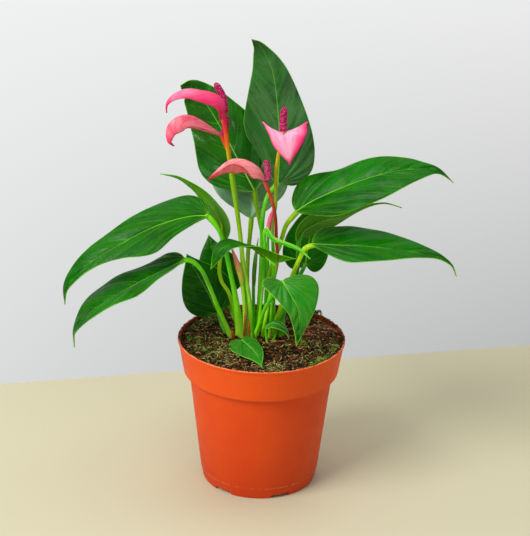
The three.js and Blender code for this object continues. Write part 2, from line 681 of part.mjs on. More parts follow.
// A closed sheet: the surface moved half its thickness each way, with a wall round its edge, which
// is first moved outwards by grow.
function thicken({ vertices, faces }, thickness, grow = 0) {
  const normals = vertices.map(() => new THREE.Vector3());
  const outwards = vertices.map(() => new THREE.Vector3());
  const edges = new Map();
  for (const [a, b, c] of faces) {
    const normal = new THREE.Vector3().crossVectors(
      vertices[b].clone().sub(vertices[a]),
      vertices[c].clone().sub(vertices[a]),
    );
    for (const i of [a, b, c]) normals[i].add(normal);
    for (const [from, to] of [[a, b], [b, c], [c, a]]) edges.set(from + "," + to, [from, to, normal]);
  }
  const rim = [...edges.values()].filter(([from, to]) => !edges.has(to + "," + from));
  for (const [from, to, normal] of rim) {
    const out = vertices[to].clone().sub(vertices[from]).cross(normal).normalize();
    outwards[from].add(out);
    outwards[to].add(out);
  }
  const moved = (way) =>
    vertices.map((point, i) =>
      point
        .clone()
        .addScaledVector(normals[i].clone().normalize(), (way * thickness) / 2)
        .addScaledVector(outwards[i].clone().normalize(), grow),
    );
  const count = vertices.length;
  return indexedGeometry(
    [...moved(1), ...moved(-1)],
    [
      ...faces,
      ...faces.map(([a, b, c]) => [c + count, b + count, a + count]),
      ...rim.flatMap(([from, to]) => [
        [from, from + count, to],
        [to, from + count, to + count],
      ]),
    ],
  );
}

// Stalks and stems

function stalkSolid(points, [low, high], extra = 0) {
  const curve = smoothCurve(points);
  const steps = Math.max(3, Math.round(curve.getLength() / STALK_STEP));
  const radiusAt = (along) => {
    const swell = along > 1 - SWELL_SHARE ? SWELL : 1;
    return lerp(low, high, Math.min(1, along * 2.2)) * swell + extra;
  };
  return solidOf(tubeGeometry(curve, steps, STALK_SIDES, radiusAt));
}

// The way into a blade: up to its joint, and a little further along the rib's underside.
function pathToJoint(points, frame, radius) {
  const under = frame.point.clone().addScaledVector(frame.face, -JOINT_DROP * radius);
  const end = under.clone().addScaledVector(frame.tangent, JOINT_REACH);
  return [...points, under.toArray(), end.toArray()];
}

// What carries a blade is cut back to a narrow gap round it.
function clearOf(solid, surface, thickness) {
  const gap = solidOf(thicken(surface, thickness + 2 * CLEAR, CLEAR));
  return solid.subtract(gap).subtract(solidOf(thicken(surface, thickness)));
}

// The spadix: a blunt spike studded all over with small florets, on a short bare foot.
function spadixSolid(points) {
  const curve = smoothCurve(points);
  const radiusAt = (along, ring, k) => {
    if (ring < 1) return STIPE_RADIUS;
    const end = Math.max(0, (along - 0.8) / 0.2);
    const body = SPADIX_RADIUS * lerp(1, 0.82, along) * Math.sqrt(1 - 0.85 * end * end);
    return body + SPADIX_BUMP * ((ring + k) % 2 ? 1 : -1);
  };
  return solidOf(tubeGeometry(curve, SPADIX_RINGS, SPADIX_SIDES, radiusAt));
}

function budSolid(points, thickness) {
  const curve = smoothCurve(points);
  const radiusAt = (along) => thickness * Math.max(0.12, Math.sin(Math.PI * (0.22 + 0.76 * along)));
  return solidOf(tubeGeometry(curve, 8, 8, radiusAt));
}

// Pot and soil

function lathe(profile, sides) {
  const turned = new THREE.LatheGeometry(
    profile.map(([r, z]) => new THREE.Vector2(r, z)),
    sides,
  );
  return turned.rotateX(Math.PI / 2);
}

function innerRadius(z) {
  return z > BODY_TOP
    ? lerp(BODY_TOP_RADIUS, RIM_RADIUS, (z - BODY_TOP) / (POT_HEIGHT - BODY_TOP)) - WALL
    : lerp(FOOT_TOP_RADIUS, BODY_TOP_RADIUS, (z - FOOT_TOP) / (BODY_TOP - FOOT_TOP)) - WALL;
}

function potSolid() {
  const floorTop = FLOOR_BOTTOM + FLOOR_THICKNESS;
  const profile = [
    [0, 0],
    [PAD_RADIUS, 0],
    [PAD_RADIUS, FLOOR_BOTTOM],
    [FOOT_RADIUS - 2 * WALL, FLOOR_BOTTOM],
    [FOOT_RADIUS - WALL, 0],
    [FOOT_RADIUS, 0],
    [FOOT_TOP_RADIUS - 0.3, FOOT_TOP - 0.6],
    [FOOT_TOP_RADIUS, FOOT_TOP],
    [BODY_TOP_RADIUS, BODY_TOP],
    [COLLAR_FOOT_RADIUS - 0.6, COLLAR_BOTTOM],
    [COLLAR_FOOT_RADIUS, COLLAR_BOTTOM + 0.8],
    [RIM_RADIUS - LIP_OUT, POT_HEIGHT - LIP_HEIGHT],
    [RIM_RADIUS, POT_HEIGHT - LIP_HEIGHT + 0.5],
    [RIM_RADIUS, POT_HEIGHT - 0.5],
    [RIM_RADIUS - 0.5, POT_HEIGHT],
    [RIM_RADIUS - WALL, POT_HEIGHT],
    [innerRadius(COLLAR_BOTTOM + 2) + 3, COLLAR_BOTTOM + 2],
    [BODY_TOP_RADIUS - WALL, BODY_TOP],
    [innerRadius(floorTop), floorTop],
    [0, floorTop],
  ];
  let pot = solidOf(lathe(profile, POT_SIDES));
  for (let i = 0; i < NOTCHES; i++) {
    const turn = radians(NOTCH_TURN - 90 + (360 * i) / NOTCHES);
    const notch = new THREE.BoxGeometry(12, NOTCH_WIDTH, 2 * NOTCH_HEIGHT);
    notch.translate(FOOT_RADIUS, 0, 0).rotateZ(turn);
    const drain = new THREE.CylinderGeometry(DRAIN_RADIUS, DRAIN_RADIUS, 4 * FLOOR_THICKNESS, 16);
    drain.rotateX(Math.PI / 2).translate(DRAIN_RING, 0, floorTop).rotateZ(turn);
    pot = pot.subtract(solidOf(notch)).subtract(solidOf(drain));
  }
  return pot;
}

// Height of the soil's top: a mound round the crown, with lumps.
function soilHeight(x, y) {
  const share = Math.min(1, Math.hypot(x, y) / (RIM_RADIUS - 4));
  const lumps = Math.sin(0.31 * x + 1.1) * Math.cos(0.27 * y - 0.4) + 0.6 * Math.sin(0.19 * (x - y) + 2);
  return SOIL_EDGE + SOIL_MOUND * Math.cos((share * Math.PI) / 2) + SOIL_LUMP * lumps * (1 - share ** 4);
}

function soilSolid(holes) {
  const edge = innerRadius(SOIL_EDGE) - CLEAR;
  const floorTop = FLOOR_BOTTOM + FLOOR_THICKNESS + CLEAR;
  const rings = Array.from({ length: SOIL_RINGS + 1 }, (_, i) => [
    edge * (1 - i / SOIL_RINGS),
    SOIL_EDGE,
  ]);
  const profile = [
    [0, floorTop],
    [innerRadius(floorTop) - 2 * CLEAR, floorTop],
    [BODY_TOP_RADIUS - WALL - 2 * CLEAR, BODY_TOP],
    [innerRadius(COLLAR_BOTTOM + 2) + 3 - 2 * CLEAR, COLLAR_BOTTOM + 2],
    ...rings,
  ];
  const geometry = lathe(profile, SOIL_SIDES);
  const position = geometry.getAttribute("position");
  for (let i = 0; i < position.count; i++) {
    if (Math.abs(position.getZ(i) - SOIL_EDGE) > 1e-3) continue;
    position.setZ(i, soilHeight(position.getX(i), position.getY(i)));
  }
  return holes.reduce((soil, hole) => soil.subtract(hole), solidOf(geometry));
}

// The whole plant

const plant = new THREE.Group();
const holes = [];

function addPiece(name, geometry, look) {
  const mesh = new THREE.Mesh(geometry, new THREE.MeshStandardMaterial({ metalness: 0, ...look }));
  mesh.name = name;
  plant.add(mesh);
}

// Each stalk also makes its hole in the soil.
function addStalk(name, points, radius, look, fit = (solid) => solid) {
  holes.push(stalkSolid(points, radius, CLEAR));
  addPiece(name, geometryOf(fit(stalkSolid(points, radius))), look);
}

for (const [name, leaf] of Object.entries(LEAVES)) {
  const surface = bladeSurface(leaf);
  const path = pathToJoint(leaf.stalk, ribFrames(leaf).frames[0], leaf.radius[1]);
  addPiece(`leaf_${name}_blade`, thicken(surface, BLADE_THICKNESS), COLOURS[leaf.look ?? "leaf"]);
  addStalk(`leaf_${name}_stalk`, path, leaf.radius, COLOURS.stalk, (stalk) =>
    clearOf(stalk, surface, BLADE_THICKNESS),
  );
}

for (const [name, bloom] of Object.entries(BLOOMS)) {
  const surface = bladeSurface(bloom);
  const joint = ribFrames(bloom).frames[0];
  const path = pathToJoint(bloom.stem, joint, bloom.radius[1]);
  const foot = joint.point.clone().addScaledVector(joint.face, STIPE_LIFT);
  const spadix = spadixSolid([foot.toArray(), ...bloom.spadix]);
  addPiece(`bloom_${name}_spathe`, thicken(surface, SPATHE_THICKNESS), COLOURS.spathe);
  addStalk(`bloom_${name}_stem`, path, bloom.radius, COLOURS.bloomStem, (stem) =>
    clearOf(stem, surface, SPATHE_THICKNESS),
  );
  addPiece(
    `bloom_${name}_spadix`,
    geometryOf(
      clearOf(spadix, surface, SPATHE_THICKNESS).subtract(stalkSolid(path, bloom.radius, CLEAR)),
    ),
    COLOURS.spadix,
  );
}

for (const [name, bud] of Object.entries(BUDS)) {
  const path = [...bud.stem, bud.bud[0]];
  addStalk(`bud_${name}_stem`, path, bud.radius, COLOURS.stalk);
  const rolled = budSolid(bud.bud, bud.budRadius).subtract(stalkSolid(path, bud.radius, CLEAR));
  addPiece(`bud_${name}`, geometryOf(rolled), COLOURS[bud.look]);
}

addPiece("pot", geometryOf(potSolid()), COLOURS.pot);
addPiece("soil", geometryOf(soilSolid(holes)), COLOURS.soil);

export default plant;
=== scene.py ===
# A potted flamingo flower: long heart-shaped leaves, pink blooms and an orange nursery pot.
# Tables and named values are in millimetres, in the part's own frame: +Z up, -Y is the front.
# Colours of materials are given as they show on a screen, 0 to 255.
import math

import bpy
import numpy as np
from mathutils import Matrix

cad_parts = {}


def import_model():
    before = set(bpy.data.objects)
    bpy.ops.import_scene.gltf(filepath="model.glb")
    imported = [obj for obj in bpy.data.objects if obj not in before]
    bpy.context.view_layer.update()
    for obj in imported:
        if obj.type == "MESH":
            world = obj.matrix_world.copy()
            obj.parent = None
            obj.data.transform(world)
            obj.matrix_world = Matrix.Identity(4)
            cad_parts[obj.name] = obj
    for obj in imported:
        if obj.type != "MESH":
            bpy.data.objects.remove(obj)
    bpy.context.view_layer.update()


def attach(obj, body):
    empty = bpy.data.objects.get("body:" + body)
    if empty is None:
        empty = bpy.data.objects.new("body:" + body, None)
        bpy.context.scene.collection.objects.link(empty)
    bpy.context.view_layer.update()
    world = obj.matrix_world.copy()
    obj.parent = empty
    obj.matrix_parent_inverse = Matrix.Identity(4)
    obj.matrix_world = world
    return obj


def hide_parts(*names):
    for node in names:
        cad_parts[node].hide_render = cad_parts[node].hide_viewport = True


MM = 0.001

# Camera, fitted to the pot's rim, step and foot
PICTURE_WIDTH = 530
PICTURE_HEIGHT = 536
CAMERA_DISTANCE = 1150
CAMERA_ELEVATION = 21.8
CAMERA_ROLL = -1.17
CAMERA_AIM = (1.5, 0, 162)
FOCAL_PIXELS = 1632
SENSOR = 36

# Table and lights. Each light has a name, place, aim, width, height, power and colour, in metres.
TABLE_EDGE = ((-213.7, 137.1), (234.9, 236.2))
TABLE_REACH = 6  # how many times its seen length the table goes on to each side
TABLE_FRONT = -4000
LIGHTS = [
    ("key", (-1.2, -1.0, 1.5), (0, 0, 0.15), 1.1, 1.1, 40, (1, 0.985, 0.96)),
    ("fill", (1.3, -1.5, 0.8), (0, 0, 0.15), 1.4, 1.2, 5, (0.97, 0.98, 1)),
    ("top", (0.15, 0.1, 1.7), (0, 0, 0.1), 1.2, 1.2, 8, (1, 0.99, 0.97)),
]

# Pot
POT_HEIGHT = 109
RIM_RADIUS = 60
COLLAR_FOOT_RADIUS = 55.7
COLLAR_BOTTOM = 84
BODY_TOP = 83
BODY_TOP_RADIUS = 51.6
FOOT_TOP = 8.5
FOOT_TOP_RADIUS = 43
FOOT_RADIUS = 41.2
WALL = 1.5
WALL_SLOPE = 0.25  # the middle of the collar's wall leans out this much per height
WALL_MIDDLE = (0.0316, 0.0320)  # where the wall's inner side ends and its outer begins, in metres
LIP_HEIGHT = 2.2
LIP_OUT = 0.7
FLOOR_BOTTOM = 3.5
FLOOR_THICKNESS = 1.6
PAD_RADIUS = 8
POT_SIDES = 192
NOTCHES = 6
NOTCH_WIDTH = 14
NOTCH_HEIGHT = 2.4
NOTCH_TURN = -38
DRAIN_RADIUS = 3.2
DRAIN_RING = 30

# Soil, with the width, height and seed of each layer of crumbs
SOIL_EDGE = 106.2
SOIL_MOUND = 1.4
SOIL_LUMP = 0.9
SOIL_REACH = 57
SOIL_GRID = (78, 300)
ROOT_DEPTH = 97
CRUMBS = ((6.0, 0.7, 1), (2.6, 0.6, 2), (1.3, 0.45, 3), (0.7, 0.25, 4))

# Loose grains: count, sizes, flatness, colour and how much that varies
LUMP_GRID = (5, 8)
GRAIN_REACH = 56
GRAINS = [
    (520, (0.5, 1.4), 0.7, (52, 32, 14), 0.5),
    (130, (1.2, 2.6), 0.45, (112, 62, 26), 0.5),
    (300, (0.3, 0.75), 0.9, (216, 208, 170), 0.35),
    (220, (0.4, 0.9), 0.6, (160, 170, 40), 0.4),
]
RIM_CRUMBS = 620
DIRT_COLOURS = [(66, 40, 18), (150, 110, 60), (40, 24, 10)]

# Fibres: name, count, lengths, radius, rise, curl, spread of headings, dark and light colour
FIBRES = [
    ("moss_fibres", 1000, (2.5, 7), 0.28, 0.26, 0.8, 9, (46, 60, 2), (255, 250, 140)),
    ("peat_fibres", 600, (3, 10), 0.24, 0.1, 0.4, 9, (40, 20, 4), (210, 140, 74)),
    ("bark_fibres", 300, (5, 14), 0.5, 0.05, 0.2, 0.25, (120, 54, 26), (255, 186, 140)),
]

# Moss: green patches of soil and cushions that stand up, each a place and a reach
MOSSY = [
    (-32, -21, 15), (51, -12, 11), (-50, 8, 9), (8, -50, 9), (40, -34, 9), (-38, 32, 14), (14, 46, 12),
]
MOSS_SPOTS = [
    (36, -41.5, 3), (39.5, -37.5, 3.6), (43, -33, 3.6), (46, -28.5, 3), (19, -12.5, 2.4), (30.5, -7, 2.8),
    (27, -3, 2), (-31, -1.5, 2.4), (-43.5, -9, 2.6), (-51, -1, 2), (-20.5, -23, 2.2), (51, -14.5, 2.2),
    (12, -52, 1.6), (-39.5, -20.5, 2),
]
MOSS_STRANDS = 100
MOSS_RADIUS = 0.42
SPRIG_FOOT = (41, 47)
SPRIG_HEIGHT = 106.5
SPRIG_STRANDS = 12

# Old sheaths at the crown: foot, tip, half width, and the colours at both ends
SHEATH_GRID = (30, 16)
PAPERY = ((120, 46, 14), (196, 92, 40))
FRESH = ((120, 206, 20), (70, 170, 10))
SHEATHS = [
    ((-9.5, -6.5, 106), (-9.8, -6, 128), 1.1, PAPERY), ((-12.5, -3, 106), (-10.5, -2, 138), 0.9, PAPERY),
    ((-20, -2, 106), (-21.5, -3.5, 117), 1.3, PAPERY), ((5.5, 3, 106), (7, 3, 132), 1.3, PAPERY),
    ((-7.5, -7, 106), (-7.2, -6, 117), 1.2, FRESH), ((14, 4, 106), (16, 5.5, 127), 2, FRESH),
    ((2, 4, 106), (3.5, 5, 134), 1.2, FRESH), ((8, -3.5, 106), (13.5, -3, 119), 0.9, FRESH),
]

# Blades. Grids are counts of rows and columns.
CURVE_STEPS = 1500
FRAME_STEPS = 240
HALVES = (("right", 1), ("left", -1))
ATTRIBUTES = ("phase", "spacing", "rib", "edge", "along", "share", "half")
BLADE_THICKNESS = 0.7
EDGE_THICKNESS = 0.3
VEIN_LEAD = 0.75  # a side vein meets the margin this share of the length past its foot
VEIN_CURVE = 1.3  # side veins leave the rib steeply and bend towards the tip
WAVES = 2.6
WAVE_SHIFT = 1.3  # keeps the waves of the two halves out of step
LEAF_VEINS = 12
NARROW_LEAF = 15  # a leaf whose left half is no wider has fewer veins
NARROW_LEAF_VEINS = 8
FULL_RELIEF_WIDTH = 20  # a narrower half has lower cushions
CUSHION = 1.05
GROOVE = 0.3
RIDGE = 0.8
VEIN_RIDGE = 0.14
SPATHE_THICKNESS = 0.9
SPATHE_EDGE = 0.35
SPATHE_GRID = (110, 26)
SPATHE_VEINS = 9
SPATHE_LINES = 0.05
KEEL = 0.35

# Stalks, spadices and buds
STALK_SIDES = 20
STALK_STEP = 1.6
JOINT_RUN = 14  # how far a stalk goes on along the rib's underside, tapering
JOINT_DROP = 0.75
JOINT_SWELLING = 0.22
SPADIX_RADIUS = 2.7
STIPE_RADIUS = 1.1
SPADIX_GRID = (150, 72)
FLORET_ROWS = 16
FLORET_TURNS = 9
FLORET_HEIGHT = 0.34
FLORET_KINDS = 97
# Low and high floret colours: painted shade in the grooves between florets, lighter on their domes.
FLORET_LOW = (120, 0, 64)
FLORET_HIGH = (206, 0, 100)
FLORET_TIP = (255, 206, 230)
BUD_GRID = (90, 40)

# Half outlines, from the notch where the stalk joins, round the lobe, to the tip. Each point is a
# share of the rib's length along it, and a share of the half width across it.
ROUND_BASE = [
    (0, 0), (-0.005, 0.12), (0, 0.3), (0.025, 0.52), (0.075, 0.73), (0.15, 0.9), (0.26, 1),
    (0.4, 0.98), (0.54, 0.85), (0.68, 0.63), (0.8, 0.39), (0.89, 0.2), (0.955, 0.08), (1, 0),
]
NARROW_BASE = [
    (0, 0), (0.025, 0.1), (0.075, 0.25), (0.145, 0.45), (0.225, 0.7), (0.31, 0.9), (0.41, 0.98),
    (0.52, 0.88), (0.63, 0.74), (0.74, 0.58), (0.84, 0.38), (0.91, 0.2), (0.96, 0.09), (1, 0),
]
BROAD_TIP = [
    (0, 0), (0.01, 0.13), (0.04, 0.3), (0.08, 0.5), (0.15, 0.78), (0.23, 0.94), (0.32, 0.99),
    (0.43, 0.9), (0.54, 0.76), (0.66, 0.64), (0.78, 0.5), (0.88, 0.38), (0.95, 0.22), (1, 0),
]
LEANING_TIP = [
    (0, 0), (0.01, 0.14), (0.04, 0.34), (0.08, 0.57), (0.15, 0.8), (0.23, 0.95), (0.32, 1),
    (0.43, 0.92), (0.54, 0.77), (0.66, 0.61), (0.78, 0.44), (0.88, 0.27), (0.95, 0.15), (1, 0),
]
LONG_TAIL = [
    (0, 0), (-0.005, 0.25), (0.01, 0.55), (0.05, 0.84), (0.11, 0.98), (0.19, 0.97), (0.3, 0.84),
    (0.44, 0.73), (0.59, 0.62), (0.72, 0.48), (0.84, 0.3), (0.92, 0.15), (0.97, 0.06), (1, 0),
]
WAISTED = [
    (0, 0), (-0.005, 0.35), (0.01, 0.62), (0.05, 0.92), (0.11, 0.99), (0.19, 0.89), (0.3, 0.73),
    (0.44, 0.74), (0.59, 0.61), (0.72, 0.4), (0.82, 0.18), (0.9, 0.07), (0.96, 0.03), (1, 0),
]
SLOPING_BASE = [
    (0, 0), (0.025, 0.16), (0.075, 0.42), (0.15, 0.69), (0.26, 0.92), (0.4, 1), (0.54, 0.88),
    (0.68, 0.66), (0.8, 0.38), (0.87, 0.18), (0.92, 0.08), (0.96, 0.03), (1, 0),
]
ROUND_TAIL = [
    (0, 0), (-0.005, 0.14), (0, 0.36), (0.025, 0.74), (0.075, 0.88), (0.15, 0.92), (0.26, 0.98),
    (0.4, 0.9), (0.54, 0.65), (0.68, 0.45), (0.8, 0.23), (0.88, 0.11), (0.94, 0.05), (1, 0),
]
FULL_TAIL = [
    (0, 0), (0, 0.26), (0.02, 0.55), (0.07, 0.75), (0.145, 0.8), (0.225, 0.76), (0.31, 0.78),
    (0.41, 0.9), (0.52, 1), (0.63, 0.94), (0.74, 0.64), (0.84, 0.32), (0.91, 0.14), (0.96, 0.05),
    (1, 0),
]
SLIM_TAIL = [
    (0, 0), (0.01, 0.1), (0.04, 0.25), (0.1, 0.56), (0.18, 0.82), (0.28, 1), (0.38, 0.98),
    (0.49, 0.78), (0.61, 0.5), (0.73, 0.25), (0.83, 0.11), (0.91, 0.05), (0.96, 0.025), (1, 0),
]
BELLY = [
    (0, 0), (0.03, 0.08), (0.09, 0.2), (0.17, 0.46), (0.26, 0.76), (0.35, 0.89), (0.44, 0.8),
    (0.53, 0.55), (0.63, 0.35), (0.74, 0.22), (0.84, 0.16), (0.91, 0.09), (0.96, 0.05), (1, 0),
]
WIDE_BASE = [
    (0, 0), (-0.005, 0.24), (-0.005, 0.47), (0.03, 0.7), (0.1, 0.92), (0.19, 0.98), (0.3, 0.92),
    (0.42, 0.79), (0.55, 0.62), (0.68, 0.44), (0.8, 0.27), (0.89, 0.14), (0.955, 0.06), (1, 0),
]
HEART = [
    (0, 0), (-0.06, 0.14), (-0.1, 0.36), (-0.09, 0.6), (-0.02, 0.82), (0.08, 0.96), (0.2, 1),
    (0.36, 0.94), (0.52, 0.76), (0.67, 0.53), (0.8, 0.3), (0.9, 0.13), (0.96, 0.05), (1, 0),
]
HEART_LOBED = [
    (0, 0), (-0.08, 0.2), (-0.15, 0.48), (-0.15, 0.78), (-0.08, 0.95), (0.01, 0.88), (0.13, 0.77),
    (0.27, 0.66), (0.42, 0.56), (0.58, 0.43), (0.72, 0.29), (0.84, 0.16), (0.93, 0.07), (1, 0),
]
HEART_ROUND = [
    (0, 0), (-0.02, 0.1), (-0.01, 0.24), (0.03, 0.54), (0.11, 0.84), (0.22, 0.97), (0.34, 0.92),
    (0.47, 0.62), (0.59, 0.39), (0.71, 0.24), (0.82, 0.14), (0.9, 0.08), (0.96, 0.04), (1, 0),
]
LONG_LOBE = [
    (0, 0), (-0.03, 0.25), (-0.055, 0.5), (-0.08, 0.78), (-0.1, 1), (-0.055, 0.88), (0.01, 0.72),
    (0.1, 0.59), (0.2, 0.52), (0.34, 0.5), (0.5, 0.52), (0.66, 0.47), (0.8, 0.32), (0.9, 0.16), (1, 0),
]
SLIM_WING = [
    (0, 0), (0.02, 0.1), (0.06, 0.22), (0.12, 0.36), (0.2, 0.5), (0.3, 0.66), (0.42, 0.8),
    (0.54, 0.82), (0.66, 0.66), (0.78, 0.42), (0.88, 0.2), (0.95, 0.08), (1, 0),
]
ROLLED_UP = [
    (0, 0), (-0.03, 0.5), (-0.01, 0.9), (0.06, 1), (0.14, 0.85), (0.24, 0.66), (0.4, 0.6),
    (0.56, 0.62), (0.7, 0.56), (0.82, 0.4), (0.92, 0.2), (1, 0),
]
SPATHE = [
    (0, 0), (0, 0.2), (0.02, 0.44), (0.07, 0.68), (0.16, 0.88), (0.28, 0.99), (0.42, 0.97),
    (0.56, 0.84), (0.7, 0.62), (0.82, 0.38), (0.92, 0.16), (1, 0),
]
LEFT_NEAR = [
    (0, 0), (0.05, 0.06), (0.12, 0.1), (0.2, 0.15), (0.3, 0.28), (0.4, 0.58), (0.5, 0.88),
    (0.59, 0.98), (0.69, 0.93), (0.8, 0.72), (0.9, 0.4), (0.96, 0.17), (1, 0),
]
LEFT_FAR = [
    (0, 0), (0.05, 0.1), (0.12, 0.22), (0.2, 0.4), (0.3, 0.62), (0.4, 0.82), (0.5, 0.86), (0.59, 0.8),
    (0.69, 0.7), (0.8, 0.52), (0.9, 0.28), (0.96, 0.12), (1, 0),
]
FRONT_NEAR = [
    (0, 0), (0.03, 0.14), (0.08, 0.36), (0.14, 0.64), (0.2, 0.82), (0.27, 0.84), (0.35, 0.72),
    (0.45, 0.56), (0.55, 0.42), (0.65, 0.3), (0.76, 0.22), (0.87, 0.13), (0.95, 0.05), (1, 0),
]
FRONT_FAR = [
    (0, 0), (0.05, 0.12), (0.12, 0.3), (0.2, 0.5), (0.3, 0.66), (0.4, 0.76), (0.5, 0.83), (0.6, 0.83),
    (0.7, 0.7), (0.8, 0.48), (0.9, 0.25), (0.96, 0.1), (1, 0),
]
HOODED_SPATHE = [
    (0, 0), (-0.04, 0.3), (-0.05, 0.56), (0, 0.78), (0.1, 0.93), (0.22, 1), (0.38, 0.97), (0.54, 0.84),
    (0.7, 0.62), (0.82, 0.38), (0.92, 0.16), (1, 0),
]
WINGED_SPATHE = [
    (0, 0), (-0.25, 1), (-0.15, 1), (-0.05, 0.99), (0.05, 0.97), (0.14, 0.93), (0.24, 0.88),
    (0.36, 0.79), (0.47, 0.68), (0.58, 0.54), (0.69, 0.38), (0.8, 0.22), (0.9, 0.09), (1, 0),
]
HORNED_SPATHE = [
    (0, 0), (-0.38, 1), (-0.28, 0.98), (-0.16, 0.93), (-0.05, 0.87), (0.06, 0.81), (0.17, 0.77),
    (0.3, 0.72), (0.42, 0.64), (0.54, 0.52), (0.66, 0.38), (0.78, 0.22), (0.89, 0.09), (1, 0),
]


def half(width, fold, bend, outline):
    return {"width": width, "fold": fold, "bend": bend, "outline": outline}


